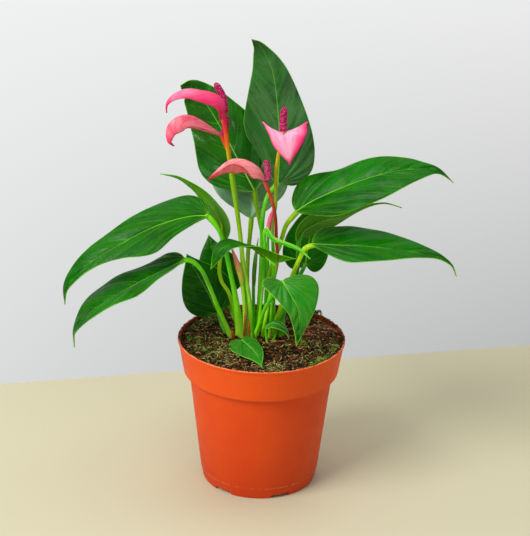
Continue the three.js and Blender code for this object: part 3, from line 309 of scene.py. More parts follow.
# Leaves. The stalk runs up from the soil and the rib from the joint to the tip. face is the upper
# side's direction at the joint. Each half has a width, a fold and a bend in degrees.
LEAVES = {
    "tall": {
        "look": "tall",
        "stalk": [(-2.5, 12), (-2.5, 12, 108), (-2, 10, 134), (-1, 10, 172), (-1, 11, 194),
                  (2, 14, 210)],
        "rib": [(9, 18, 218.5), (10, 24, 242.5), (8, 30, 270), (4, 33, 295), (-4, 32, 312),
                (-11, 26, 320)],
        "face": (0.1, -1, 0.25),
        "left": half(25, -4, -12, NARROW_BASE),
        "right": half(26.5, -4, -12, WIDE_BASE),
        "wave": 0.9, "radius": (2, 1.6), "grid": (120, 26),
    },
    "upper_left": {
        "stalk": [(1.5, 18), (2, 18, 108), (3, 18, 139), (1.5, 20, 167), (-3, 22, 189),
                  (-5.5, 22, 201)],
        "rib": [(-7, 21, 212), (-13, 25, 222), (-21, 30, 235.5), (-28, 34, 247.5),
                (-41, 37, 268.5), (-51, 36, 281), (-60, 31, 285)],
        "face": (0, -1, 0.35),
        "left": half(28, 4, -16, BROAD_TIP),
        "right": half(28, 4, -16, LEANING_TIP),
        "wave": 1, "radius": (2, 1.5), "grid": (120, 26), "look": "glinting",
    },
    "rear": {
        "stalk": [(-8, 14), (-8.5, 15, 110), (-11, 20, 137), (-11, 24, 161), (-10, 26, 174)],
        "rib": [(-9, 28, 189), (-9, 33, 198), (-10, 42, 211), (-13, 54, 226), (-17, 70, 236),
                (-21, 86, 236), (-24, 98, 228)],
        "face": (0, -0.9, 0.5),
        # The grey look paints in a sheen of reflected light.
        "look": "grey",
        "left": half(28, 10, -16, BROAD_TIP),
        "right": half(28, 10, -16, BROAD_TIP),
        "wave": 0.8, "radius": (1.9, 1.5), "grid": (100, 22),
    },
    "left_high": {
        "stalk": [(-15.5, 4), (-15.5, 3, 110), (-19, -2, 140), (-23, -5, 161), (-26, -7, 176),
                  (-30.3, -9, 192)],
        "rib": [(-38, -10, 204), (-51, -13, 204), (-68, -17, 200.5), (-85, -21, 193.5),
                (-102, -25, 184.5), (-115, -27, 176.5), (-127, -28, 166), (-135, -28, 155),
                (-137, -26, 142)],
        "face": (-0.1, -0.45, 1),
        "left": half(22, 4, -26, BELLY),
        "right": half(22, 16, -30, LONG_TAIL),
        "wave": 1.2, "radius": (3.3, 1.6), "grid": (130, 26),
    },
    "left_low": {
        "stalk": [(-21, 3), (-21.5, 3, 105), (-31, -4, 132), (-37, -9, 150), (-42, -14, 164),
                  (-48, -17, 172)],
        "rib": [(-54, -18, 175), (-63, -22, 170.5), (-77, -26, 164.5), (-94, -31, 156),
                (-111, -35, 146), (-122, -37, 137), (-129, -37, 126), (-130, -36, 114)],
        "face": (-0.3, -0.2, 1),
        "left": half(15, 16, -24, NARROW_BASE),
        "right": half(20, 14, -20, FULL_TAIL),
        "wave": 1, "radius": (1.9, 1.5), "grid": (120, 24),
    },
    "left_narrow": {
        "stalk": [(-18.5, 9), (-17.5, 10, 109), (-23, 11, 135), (-29, 11, 146), (-31, 11, 155),
                  (-30, 11.5, 168)],
        "rib": [(-28, 12, 179), (-29.5, 14, 190.5), (-37, 18, 202), (-45.5, 22, 210),
                (-53.5, 25, 215), (-62, 27, 219), (-74, 28, 221)],
        "face": (0.65, 0.5, 0.5),
        "left": half(14, 0, -10, HEART_ROUND),
        "right": half(14, 0, -10, HEART_ROUND),
        "wave": 0.6, "radius": (1.6, 1.4), "grid": (90, 18),
    },
    "shade_left": {
        "stalk": [(-25, 7), (-25, 7, 105), (-29, 10, 113)],
        "rib": [(-32, 14, 121), (-40, 16, 137), (-48, 18, 151), (-55, 22, 163)],
        "face": (0, -1, 0.3),
        "left": half(19, 4, -10, ROUND_BASE),
        "right": half(19, 4, -10, ROUND_BASE),
        "wave": 0.5, "radius": (1.2, 1.1), "grid": (90, 18),
    },
    "shade_rear": {
        "stalk": [(-15, 13), (-16, 13.5, 108), (-22, 20, 118)],
        "rib": [(-26, 26, 131), (-30, 28, 145), (-36, 33, 158), (-40, 41, 171)],
        "face": (0, -1, 0.3),
        "left": half(16, 4, -10, ROUND_BASE),
        "right": half(16, 4, -10, ROUND_BASE),
        "wave": 0.5, "radius": (1.2, 1), "grid": (80, 18),
    },
    "arched": {
        "stalk": [(5.5, 0), (5.5, 0, 108), (7, -3, 135), (8, -9, 155), (7.5, -15, 168)],
        "rib": [(8.3, -18.5, 172.6), (-4, -19, 182.8), (-14, -20, 186), (-23, -22, 187.3),
                (-30, -25, 183), (-36, -28, 171)],
        "face": (0.1, 0.8, 0.6),
        "twist": -90,
        "left": half(17.5, 10, -16, LONG_LOBE),
        "right": half(13, 10, -16, SLIM_WING),
        "wave": 0.3, "radius": (1.1, 1), "grid": (90, 18),
    },
    "heart": {
        "look": "mid",
        "stalk": [(-4.5, -2), (-5, -3, 109), (-2, -6, 121), (1, -9, 132), (4, -12, 140),
                  (9, -14, 149)],
        "rib": [(14, -15, 158), (20, -21, 150), (25, -25, 141), (26, -28, 130),
                (24.5, -29, 115)],
        "face": (-0.1, -0.7, 0.75),
        "left": half(21, 14, -16, HEART_ROUND),
        "right": half(14.5, 10, -16, HEART_LOBED),
        "wave": 0.4, "radius": (1.5, 1.3), "grid": (100, 22),
    },
    "low": {
        "look": "mid",
        "stalk": [(-10, -4), (-11, -5.5, 104.5), (-12.5, -9, 108)],
        "rib": [(-14, -12, 111.4), (-9, -23, 112.1), (-3, -35.5, 110.9), (1, -51, 109)],
        "face": (-0.1, -0.3, 1),
        "left": half(8, 4, -14, HEART),
        "right": half(12, 4, -14, HEART),
        "wave": 0.2, "radius": (0.9, 0.8), "grid": (80, 16),
    },
    "right_high": {
        "stalk": [(2, 6), (1.5, 6, 110), (4, 6, 144), (7, 5.6, 165), (11, 4.8, 175.5),
                  (13, 3.8, 183.7), (16, 2.8, 194)],
        "rib": [(22, 1.5, 204), (34, -0.5, 213), (48, -2.5, 221), (66, -5.5, 230), (84, -8.5, 237),
                (102, -10.5, 241), (117, -11.5, 241), (129, -11.5, 232)],
        "face": (-0.3, -0.6, 1),
        "left": half(23, 10, -20, WAISTED),
        "right": half(23, 10, -24, SLOPING_BASE),
        "wave": 1.2, "radius": (2, 1.6), "grid": (130, 26),
    },
    "right_low": {
        "stalk": [(8, 5), (7.5, 5, 108), (15, 1, 137), (21, -2, 158), (26, -4, 172),
                  (29, -5, 179)],
        "rib": [(34, -6, 183), (53, -10, 184), (72, -14, 185), (90, -17, 184.5), (108, -20, 183),
                (121, -21, 180.5), (130, -21, 175), (134, -21, 167)],
        "face": (0.1, -0.4, 1),
        "left": half(20, 12, -20, ROUND_TAIL),
        "right": half(17, 12, -24, SLIM_TAIL),
        "wave": 1, "radius": (1.9, 1.6), "grid": (120, 24),
    },
    "right_far": {
        "stalk": [(12, 10), (11, 10, 108), (19, 13, 132), (24.5, 16, 151)],
        "rib": [(24, 17, 174), (28, 22, 182), (39, 28, 187), (55, 34, 190), (74, 38, 196),
                (87, 40, 198), (99, 40, 195)],
        "face": (-0.3, 0.75, 0.6),
        "twist": 40,
        "left": half(15, 8, -16, SLIM_TAIL),
        "right": half(15, 8, -16, SLIM_TAIL),
        "wave": 0.6, "radius": (1.6, 1.4), "grid": (90, 18),
    },
    "shade_right": {
        "stalk": [(12.5, 16), (12, 16, 108), (21, 28, 130)],
        "rib": [(31, 40, 150), (32.5, 43, 162), (36, 48, 180), (43, 56, 196)],
        "face": (0, -1, 0.3),
        "left": half(18, 4, -10, HEART),
        "right": half(15.5, 4, -10, HEART),
        "wave": 0.5, "radius": (1.5, 1.3), "grid": (90, 18),
    },
    "rolled": {
        "look": "fresh",
        "stalk": [(-3, 3), (-3, 3, 108), (0, 0, 145), (1, -2, 176)],
        "rib": [(0.8, -3, 191.5), (3.5, -4.5, 188), (8.5, -6.5, 184.8), (18.5, -10, 182.3),
                (26, -12, 179.5), (33, -14, 175)],
        "face": (0.3, -0.3, 1),
        "left": half(4, 45, 90, ROLLED_UP),
        "right": half(4, 45, 90, ROLLED_UP),
        "radius": (1.1, 0.9), "grid": (70, 14),
    },
    "young": {
        "look": "mid",
        "stalk": [(4, -5), (4, -5, 107), (3.2, -5.4, 113)],
        "rib": [(3, -6.5, 119.5), (7.5, -7.5, 123), (13, -8.5, 122), (17.5, -9.5, 118),
                (19.5, -10.5, 112.5)],
        "face": (0, -0.3, 1),
        "left": half(3.6, 4, -20, ROUND_BASE),
        "right": half(4.6, 4, -20, ROUND_BASE),
        "radius": (0.8, 0.7), "grid": (60, 12),
    },
}

BLOOMS = {
    "top": {
        "stem": [(-7.5, 3), (-7.5, 3, 110), (-9, 2, 135), (-14, 2, 165), (-17.3, 2, 193),
                 (-22.5, 2.2, 226), (-26.5, 3, 255)],
        "rib": [(-28.3, 3, 274), (-27.8, 2, 280.5), (-33.5, 0.5, 287.5), (-45, -2, 291),
                (-54, -4, 292), (-62, -6, 289), (-67, -7, 283), (-67, -7, 276)],
        "face": (1, 0.2, 0.3),
        "left": half(10.5, -20, -50, HOODED_SPATHE),
        "right": half(9, -20, -50, SPATHE),
        "spadix": [(-29.4, 8, 283), (-32.6, 10, 289), (-35.2, 10, 293)],
        "radius": (1.7, 1.5),
    },
    "left": {
        "stem": [(-11, 8), (-11, 8, 110), (-12, 8, 134), (-14.6, 8, 162), (-17.2, 8.5, 191),
                 (-21.7, 8.5, 224), (-24.9, 9, 242)],
        "rib": [(-29, 9, 256), (-37, 8, 262), (-44, 7, 267), (-51, 6, 270.6), (-58, 5, 270.8),
                (-64.5, 4, 267), (-68, 4, 260), (-66.8, 4, 252), (-62.5, 4, 249.2)],
        "face": (0.5, -0.1, 1),
        "left": half(11, -30, -60, LEFT_NEAR),
        "right": half(13, -70, -30, LEFT_FAR),
        "spadix": [(-27.8, 12, 260), (-27.6, 13, 266), (-27.6, 13.6, 270)],
        "radius": (1.5, 1.3),
    },
    "front": {
        "stem": [(0.5, 0.5), (1, 0.5, 111), (6, 0.5, 144), (10, -0.5, 166), (9, -1, 185),
                 (8, -2, 201), (5, -3, 215)],
        "rib": [(1, -4, 228), (-3, -6, 237), (-10, -8, 243), (-17, -10, 245.5),
                (-24, -12, 245), (-31, -14, 240), (-39, -15, 231)],
        "face": (0.9, 0.2, 0.5),
        "left": half(12, -30, -50, FRONT_NEAR),
        "right": half(14, -70, -30, FRONT_FAR),
        "spadix": [(2.1, -2.4, 233), (1.4, -1.6, 238), (0.4, -1, 242)],
        "pale": 0.9,
        "radius": (1.3, 1.2),
    },
    "right": {
        "stem": [(9, 13), (8.5, 13, 109), (8, 12, 141), (7.5, 11.5, 163), (6, 10, 193),
                 (8, 8.5, 206), (8, 6, 234)],
        "rib": [(12, 4, 261), (13, -1, 257), (15, -4, 249), (17, -5, 240)],
        "face": (0, -0.5, 1),
        "vein_curve": 2.2, "first_row": 1 / 13, "soft": 0.3, "keel": 0.05,
        "left": half(17, 12, -24, WINGED_SPATHE),
        "right": half(12.5, 12, -24, HORNED_SPATHE),
        "spadix": [(12, 6.6, 267), (12.3, 7.4, 273), (12.6, 7.8, 277.5)],
        "radius": (1.5, 1.3),
    },
}

BUDS = {
    "pink": {
        "stem": [(4.5, 11), (4.5, 11, 109), (4, 10.5, 143), (3.5, 9, 165)],
        "bud": [(3, 4, 186), (3.6, 3.8, 192), (5, 3.5, 199), (7.5, 3, 208)],
        "radius": (1.1, 1), "thickness": 1.9,
    },
    "sheathed": {
        "stem": [(-11.5, 0), (-12, 0, 110), (-13, 0, 136)],
        "bud": [(-14.6, 0, 149), (-16, -0.3, 157), (-19, -1, 168), (-23, -1, 179)],
        "radius": (1.3, 1.2), "thickness": 2,
    },
    "spear": {
        "stem": [(-5.5, 8), (-5.5, 8, 110), (-6, 8, 128)],
        "bud": [(-6.4, 8, 143), (-6, 8, 156), (-5, 8, 170), (-3.6, 8, 182)],
        "radius": (1.3, 1.2), "thickness": 1.6,
    },
}



# Colours

def srgb(red, green, blue):
    """A colour as it shows on a screen, 0 to 255, turned into the shader's linear values."""
    shown = np.array([red, green, blue]) / 255
    linear = np.where(shown <= 0.04045, shown / 12.92, ((shown + 0.055) / 1.055) ** 2.4)
    return (*linear.tolist(), 1.0)


def blend(first, second, share):
    """A colour between two that are given as they show on a screen."""
    return np.array(srgb(*first)) * (1 - share) + np.array(srgb(*second)) * share


def gradient(shares, stops):
    """Colours along a piece from (share, screen colour) stops."""
    at = [share for share, _ in stops]
    colours = np.array([srgb(*colour) for _, colour in stops])
    return np.stack([np.interp(shares, at, colours[:, k]) for k in range(4)], axis=1)


# Curves

def unit(vectors):
    return vectors / np.maximum(np.linalg.norm(vectors, axis=-1, keepdims=True), 1e-12)


def circle(sides):
    return np.linspace(0, 2 * np.pi, sides, endpoint=False)


def spline(points, shares, free_ends=True):
    """Smooth curve through points, at shares 0 to 1 of its stretches."""
    points = np.array(points, float)
    first = 2 * points[0] - points[1] if free_ends else points[0]
    last = 2 * points[-1] - points[-2] if free_ends else points[-1]
    padded = np.vstack([first, points, last])
    place = np.clip(np.asarray(shares) * (len(points) - 1), 0, len(points) - 1 - 1e-9)
    i = place.astype(int)
    mix = (place - i)[:, None]
    a, b, c, d = padded[i], padded[i + 1], padded[i + 2], padded[i + 3]
    start, end = (c - a) / 2, (d - b) / 2
    cubic = 2 * b - 2 * c + start + end
    square = 3 * c - 3 * b - 2 * start - end
    return b + start * mix + square * mix**2 + cubic * mix**3


def with_depth(points):
    """A first point given without a height lies at the depth of the roots."""
    return [(*point, ROOT_DEPTH) if len(point) == 2 else point for point in points]


def even_curve(points, count):
    """Points spaced evenly along the curve, their tangents and the curve's length."""
    dense = spline(with_depth(points), np.linspace(0, 1, CURVE_STEPS + 1))
    reach = np.concatenate([[0], np.cumsum(np.linalg.norm(np.diff(dense, axis=0), axis=1))])
    at = np.linspace(0, reach[-1], count)
    curve = np.stack([np.interp(at, reach, dense[:, k]) for k in range(3)], axis=1)
    return curve, unit(np.gradient(curve, axis=0)), reach[-1]


def turn_about(vectors, axes, angles):
    cos, sin = np.cos(angles)[:, None], np.sin(angles)[:, None]
    along = (vectors * axes).sum(1, keepdims=True)
    return vectors * cos + np.cross(axes, vectors) * sin + axes * along * (1 - cos)


def carried(vector, tangents):
    """The vector carried along the tangents, kept at right angles to them."""
    out = []
    vector = np.array(vector, float)
    for tangent in tangents:
        vector = vector - tangent * vector.dot(tangent)
        vector = vector / np.linalg.norm(vector)
        out.append(vector)
    return np.array(out)


# Meshes

def build(name, points, faces, colours=None, corners=None):
    """A mesh object from points in millimetres and four-cornered faces. A corner that repeats the
    next one is dropped. colours gives a tint per point, corners values per face corner."""
    keep = faces != np.roll(faces, -1, axis=1)
    whole = keep.sum(1) >= 3
    faces, keep = faces[whole], keep[whole]
    used, renumbered = np.unique(faces[keep], return_inverse=True)
    mesh = bpy.data.meshes.new(name)
    mesh.vertices.add(len(used))
    mesh.vertices.foreach_set("co", (points[used] * MM).astype(np.float32).ravel())
    mesh.loops.add(int(keep.sum()))
    mesh.loops.foreach_set("vertex_index", renumbered.astype(np.int32))
    mesh.polygons.add(len(faces))
    starts = np.concatenate([[0], np.cumsum(keep.sum(1))[:-1]]).astype(np.int32)
    mesh.polygons.foreach_set("loop_start", starts)
    mesh.polygons.foreach_set("use_smooth", np.ones(len(faces), bool))
    for key, values in (corners or {}).items():
        attribute = mesh.attributes.new(key, "FLOAT", "CORNER")
        attribute.data.foreach_set("value", values[whole][keep].astype(np.float32))
    if colours is not None:
        attribute = mesh.attributes.new("tint", "FLOAT_COLOR", "POINT")
        attribute.data.foreach_set("color", colours[used].astype(np.float32).ravel())
    mesh.update(calc_edges=True)
    mesh.validate()
    piece = bpy.data.objects.new(name, mesh)
    bpy.context.scene.collection.objects.link(piece)
    return piece


def dress(piece, material, node=None):
    """Gives a piece its material and slot. node is the solid that it replaces."""
    piece.data.materials.append(material)
    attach(piece, "root")
    if node:
        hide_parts(node)


def add_fine(node, shape, material, corners=None):
    """A piece with the form of a solid, but finer. shape is points and faces, often with a tint."""
    dress(build(f"fine_{node}", *shape, corners=corners), material, node)


def add_loose(name, shapes, material):
    """A piece made of many small tinted shapes."""
    dress(build(name, *joined(shapes)), material)


def painted(shape, tone):
    """The shape with one colour for all its points."""
    points, faces = shape
    return points, faces, np.tile(tone, (len(points), 1))


def joined(shapes):
    """Several (points, faces, ...) as one. What follows the faces is stacked in the same order."""
    points, faces, rest, shift = [], [], [], 0
    for shape in shapes:
        points.append(shape[0])
        faces.append(shape[1] + shift)
        rest.append(shape[2:])
        shift += len(shape[0])
    extra = [np.concatenate(values) for values in zip(*rest)]
    return (np.concatenate(points), np.concatenate(faces), *extra)


def welded(points, faces, digits, *rest):
    """The same faces, with points made one that lie together to so many digits."""
    _, first, index = np.unique(np.round(points, digits), axis=0, return_index=True, return_inverse=True)
    return (points[first], index.reshape(-1)[faces], *(values[first] for values in rest))


def point_normals(points, faces):
    a, b, c, d = (points[faces[:, k]] for k in range(4))
    across = np.cross(c - a, d - b)
    normals = np.zeros_like(points)
    for k in range(4):
        np.add.at(normals, faces[:, k], across)
    return unit(normals)


def open_edges(faces):
    """Edges that belong to one face only, in the direction in which it runs round them."""
    starts, ends = faces.ravel(), np.roll(faces, -1, axis=1).ravel()
    real = starts != ends
    starts, ends = starts[real].astype(np.int64), ends[real].astype(np.int64)
    size = faces.max() + 1
    alone = ~np.isin(starts * size + ends, ends * size + starts)
    return np.stack([starts[alone], ends[alone]], axis=1)


def grid_faces(rows, columns, wrap=False):
    """Faces of a grid of points numbered row by row. wrap joins its last column to its first."""
    i, j = np.meshgrid(np.arange(rows - 1), np.arange(columns if wrap else columns - 1), indexing="ij")
    i, j = i.ravel(), j.ravel()
    after = (j + 1) % columns
    return np.stack([i * columns + j, i * columns + after, (i + 1) * columns + after,
                     (i + 1) * columns + j], axis=1)


def closed_faces(rings, sides):
    """Faces of a tube with fans at its ends, whose middle points come after those of the rings."""
    k = np.arange(sides)
    after = (k + 1) % sides
    last = (rings - 1) * sides
    low, high = np.full(sides, rings * sides), np.full(sides, rings * sides + 1)
    return np.vstack([grid_faces(rings, sides, wrap=True), np.stack([after, k, low, low], axis=1),
                      np.stack([last + k, last + after, high, high], axis=1)])


def tube(curve, tangents, radii, sides, start=None):
    """Points and faces round a curve, closed at both ends. radii has a row per ring."""
    radii = np.broadcast_to(np.asarray(radii, float).reshape(len(curve), -1), (len(curve), sides))
    if start is None:
        start = (0.3, 1, 0.2) if abs(tangents[0][1]) < 0.9 else (1, 0, 0.2)
    normals = carried(start, tangents)[:, None]
    others = np.cross(tangents, normals[:, 0])[:, None]
    turn = circle(sides)[None, :, None]
    ring = normals * np.cos(turn) + others * np.sin(turn)
    points = (curve[:, None] + ring * radii[..., None]).reshape(-1, 3)
    return np.vstack([points, curve[0], curve[-1]]), closed_faces(len(curve), sides)


def swept(profile, turn):
    """Points of a profile, given as radii and heights, turned about the pot's axis."""
    heights = np.broadcast_to(profile[:, 1:], (len(profile), len(turn)))
    return np.stack([profile[:, :1] * np.cos(turn), profile[:, :1] * np.sin(turn), heights],
                    axis=-1).reshape(-1, 3)


def turned(points, degrees):
    angle = math.radians(degrees)
    x, y = points[:, 0].copy(), points[:, 1].copy()
    points[:, 0] = x * math.cos(angle) - y * math.sin(angle)
    points[:, 1] = x * math.sin(angle) + y * math.cos(angle)
    return points


def lattice_noise(x, y, seed, size=64):
    """Smooth noise from -1 to 1 on a lattice one unit wide."""
    table = np.random.default_rng(seed).uniform(-1, 1, (size, size))
    i, j = np.floor(x).astype(int), np.floor(y).astype(int)
    u, v = x - i, y - j
    u, v = u * u * (3 - 2 * u), v * v * (3 - 2 * v)
    at = lambda di, dj: table[(i + di) % size, (j + dj) % size]
    return (at(0, 0) * (1 - u) + at(1, 0) * u) * (1 - v) + (at(0, 1) * (1 - u) + at(1, 1) * u) * v


# Blades

def rib_frames(piece):
    curve, tangents, length = even_curve(piece["rib"], FRAME_STEPS + 1)
    faces = carried(piece["face"], tangents)
    twist = math.radians(piece.get("twist", 0))
    faces = turn_about(faces, tangents, twist * np.linspace(0, 1, FRAME_STEPS + 1))
    return {"point": curve, "tangent": tangents, "face": faces, "soft": piece.get("soft", 0),
            "across": np.cross(tangents, faces), "length": length, "wave": piece.get("wave", 0)}


def at_share(frames, key, along):
    stations = np.linspace(0, 1, FRAME_STEPS + 1)
    return np.stack([np.interp(along, stations, frames[key][:, k]) for k in range(3)], axis=-1)


def surface_points(frames, side, sign, along, across):
    """Points of a half at shares along the rib and across from it."""
    fold, bend = math.radians(side["fold"]), math.radians(side["bend"])
    inside = np.clip(along, 0, 1)
    behind = (np.minimum(along, 0) * frames["length"])[..., None]
    points = at_share(frames, "point", inside) + at_share(frames, "tangent", inside) * behind
    out = side["width"] * (np.sin(fold + bend * across) - math.sin(fold)) / bend
    eased = np.hypot(across, frames["soft"]) - frames["soft"]
    rise = side["width"] * (math.cos(fold) - np.cos(fold + bend * eased)) / bend
    rise = rise + frames["wave"] * across**2 * np.sin(2 * np.pi * WAVES * along + WAVE_SHIFT * sign)
    points = points + at_share(frames, "across", inside) * (sign * out)[..., None]
    return points + at_share(frames, "face", inside) * rise[..., None]


def blade_halves(piece, veins):
    """Both halves of a blade's middle surface as grids, with what the relief and colours need."""
    rows, columns = piece["grid"]
    frames = rib_frames(piece)
    shares = np.linspace(piece.get("first_row", 1 / rows), 1, rows)
    margins = {sign: spline(piece[side]["outline"], shares, free_ends=False) for side, sign in HALVES}
    reach = (margins[1][:, 0] + margins[-1][:, 0]) / 2
    feet = np.maximum(0, reach - VEIN_LEAD * (1 - reach))
    s = np.linspace(0, 1, columns + 1)
    halves = []
    for side, sign in HALVES:
        edge = margins[sign]
        along = feet[:, None] + (edge[:, :1] - feet[:, None]) * s ** piece.get("vein_curve", VEIN_CURVE)
        across = edge[:, 1:] * s
        points = surface_points(frames, piece[side], sign, along, across)
        down, out = np.gradient(points, axis=0), np.gradient(points, axis=1)
        per_vein = rows / veins * np.linalg.norm(np.cross(down, unit(out)), axis=-1)
        to_edge = np.linalg.norm(np.cross(out * columns, unit(down)), axis=-1)
        halves.append({
            "points": points, "along": along, "spacing": per_vein, "edge": to_edge * (1 - s),
            "phase": np.broadcast_to((shares * veins)[:, None], along.shape),
            "rib": across * piece[side]["width"], "share": np.broadcast_to(s, along.shape),
            "half": np.full(along.shape, sign), "keel": piece.get("keel", KEEL),
        })
    return halves, frames


def blade_shape(piece, veins, relief, thickness):
    """A closed blade: its upper and lower side, each with its own relief, and the rim between."""
    rows, columns = piece["grid"]
    halves, frames = blade_halves(piece, veins)
    shapes = []
    values = {key: [] for key in ATTRIBUTES}
    for part, (_, sign) in zip(halves, HALVES):
        quads = grid_faces(rows, columns + 1)
        if sign < 0:
            quads = quads[:, ::-1]
        lift = np.stack([relief(part, 1), relief(part, -1), thickness(part)], axis=-1)
        shapes.append((part["points"].reshape(-1, 3), quads, lift.reshape(-1, 3)))
        for key in ATTRIBUTES:
            values[key].append(part[key].ravel()[quads])
    points, faces, lifts = joined(shapes)
    points, faces, lifts = welded(points, faces, 3, lifts)
    normals = point_normals(points, faces)
    upper = points + normals * (lifts[:, :1] + lifts[:, 2:] / 2)
    lower = points + normals * (lifts[:, 1:2] - lifts[:, 2:] / 2)
    rim, count = open_edges(faces), len(points)
    wall = np.stack([rim[:, 0], rim[:, 0] + count, rim[:, 1] + count, rim[:, 1]], axis=1)
    corners = {}
    for key, value in values.items():
        value = np.concatenate(value)
        corners[key] = np.vstack([value, value[:, ::-1], np.zeros(wall.shape)])
    corners["upper"] = np.vstack([np.ones_like(faces), np.zeros_like(faces), np.full(wall.shape, 0.5)])
    return np.vstack([upper, lower]), np.vstack([faces, (faces + count)[:, ::-1], wall]), corners, frames


# Shader building

def new_material(name):
    material = bpy.data.materials.new(name)
    material.use_nodes = True
    return material, Graph(material.node_tree)


class Graph:
    """Short calls for the few kinds of shader node that the materials are made of. A colour is a
    socket, or a tuple as it shows on a screen."""

    def __init__(self, tree):
        self.tree = tree

    def put(self, socket, value):
        if isinstance(value, bpy.types.NodeSocket):
            self.tree.links.new(value, socket)
        elif value is not None:
            socket.default_value = value

    def node(self, kind, **values):
        """A new node with values put into its inputs."""
        node = self.tree.nodes.new(f"ShaderNode{kind}")
        for key, value in values.items():
            self.put(node.inputs[key], value)
        return node

    def value(self, key, output="Fac"):
        node = self.node("Attribute")
        node.attribute_name = key
        return node.outputs[output]

    def math(self, operation, *values):
        node = self.node("Math")
        node.operation = operation
        for socket, value in zip(node.inputs, values):
            self.put(socket, value)
        return node.outputs[0]

    def times(self, first, *others):
        for other in others:
            first = self.math("MULTIPLY", first, other)
        return first

    def plus(self, first, *others):
        for other in others:
            first = self.math("ADD", first, other)
        return first

    def larger(self, a, b):
        return self.math("MAXIMUM", a, b)

    def rest(self, share):
        """What is left of one."""
        return self.math("SUBTRACT", 1.0, share)

    def range(self, value, low, high, to_low=0.0, to_high=1.0, kind="SMOOTHSTEP"):
        """Low to high in the value, eased into to_low to to_high."""
        node = self.node("MapRange", **{"Value": value, "From Min": low, "From Max": high,
                                        "To Min": to_low, "To Max": to_high})
        node.interpolation_type = kind
        return node.outputs[0]

    def line(self, value, low, high, to_low=0.0, to_high=1.0):
        """As range, but along a straight line."""
        return self.range(value, low, high, to_low, to_high, "LINEAR")

    def mix(self, share, *colours):
        node = self.node("Mix")
        node.data_type = "RGBA"
        self.put(node.inputs[0], share)
        sockets = [socket for socket in node.inputs if socket.type == "RGBA"]
        for socket, colour in zip(sockets, colours):
            self.put(socket, srgb(*colour) if isinstance(colour, tuple) else colour)
        return next(socket for socket in node.outputs if socket.type == "RGBA")

    def place(self, scale=(1, 1, 1)):
        return self.node("Mapping", Vector=self.node("TexCoord").outputs["Object"], Scale=scale).outputs[0]

    def split(self, vector):
        return self.node("SeparateXYZ", Vector=vector).outputs

    def noise(self, scale, detail=3, rough=0.5, stretch=(1, 1, 1)):
        return self.node("TexNoise", Scale=scale, Detail=detail, Roughness=rough,
                         Vector=self.place(stretch)).outputs["Fac"]

    def vein_noise(self, across, lengthways, detail):
        """Noise in streaks that run with the side veins."""
        place = self.node("CombineXYZ", X=self.times(self.value("phase"), across),
                          Y=self.times(self.value("share"), lengthways), Z=self.times(self.noise(16, 1), 5))
        return self.node("TexNoise", Scale=1, Detail=detail, Vector=place.outputs[0]).outputs["Fac"]

    def net(self, scale):
        """Thin lines between cells."""
        node = self.node("TexVoronoi", Scale=scale, Vector=self.place())
        node.feature = "DISTANCE_TO_EDGE"
        return self.rest(self.range(node.outputs["Distance"], 0.02, 0.1))

    def surface(self, colour, rough, specular=None, bump=None, soft=()):
        """Sets the surface. bump is a height, a strength and a distance. soft is the weight, reach per
        colour and scale of the light that passes a little way into it."""
        sockets = self.tree.nodes["Principled BSDF"].inputs
        self.put(sockets["Base Color"], colour)
        self.put(sockets["Roughness"], rough)
        self.put(sockets["Specular IOR Level"], specular)
        for key, value in zip(("Weight", "Radius", "Scale"), soft):
            self.put(sockets[f"Subsurface {key}"], value)
        if bump:
            height, strength, distance = bump
            node = self.node("Bump", Height=height, Strength=strength, Distance=distance)
            self.put(sockets["Normal"], node.outputs[0])


# Leaves

LEAF_LOOKS = {
    "grown": {"deep": (0, 74, 0), "light": (4, 112, 0), "warm": (44, 120, 0), "vein": (116, 200, 40),
              "rim": (110, 190, 30), "under": (74, 140, 0), "gloss": 0.12},
    # glinting: its pale flecks are painted glints.
    "glinting": {"deep": (0, 74, 0), "light": (4, 112, 0), "warm": (44, 120, 0), "vein": (158, 222, 96),
                 "rim": (110, 190, 30), "under": (74, 140, 0), "gloss": 0.2, "specks_and_glints": 0.6},
    "mid": {"deep": (8, 98, 6), "light": (34, 140, 14), "warm": (84, 142, 40), "vein": (120, 200, 70),
            "rim": (140, 230, 50), "under": (90, 160, 20), "gloss": 0.2},
    # tall: its warm streak colour is a grey-green painted sheen.
    "tall": {"deep": (10, 78, 12), "light": (40, 118, 38), "warm": (88, 132, 76), "vein": (110, 190, 50),
             "rim": (130, 214, 50), "under": (90, 150, 14), "gloss": 0.35},
    "fresh": {"deep": (38, 190, 2), "light": (84, 222, 14), "warm": (120, 226, 20), "vein": (190, 246, 110),
              "rim": (180, 246, 80), "under": (70, 210, 10), "gloss": 0.3},
    # grey: a pale grey-green that paints in the sheen the rear leaf reflects, lighter than its shade would
    # show.
    "grey": {"deep": (82, 130, 92), "light": (134, 180, 132), "warm": (122, 170, 106),
             "vein": (140, 180, 110), "rim": (130, 170, 96), "under": (70, 130, 40), "gloss": 0.4},
}


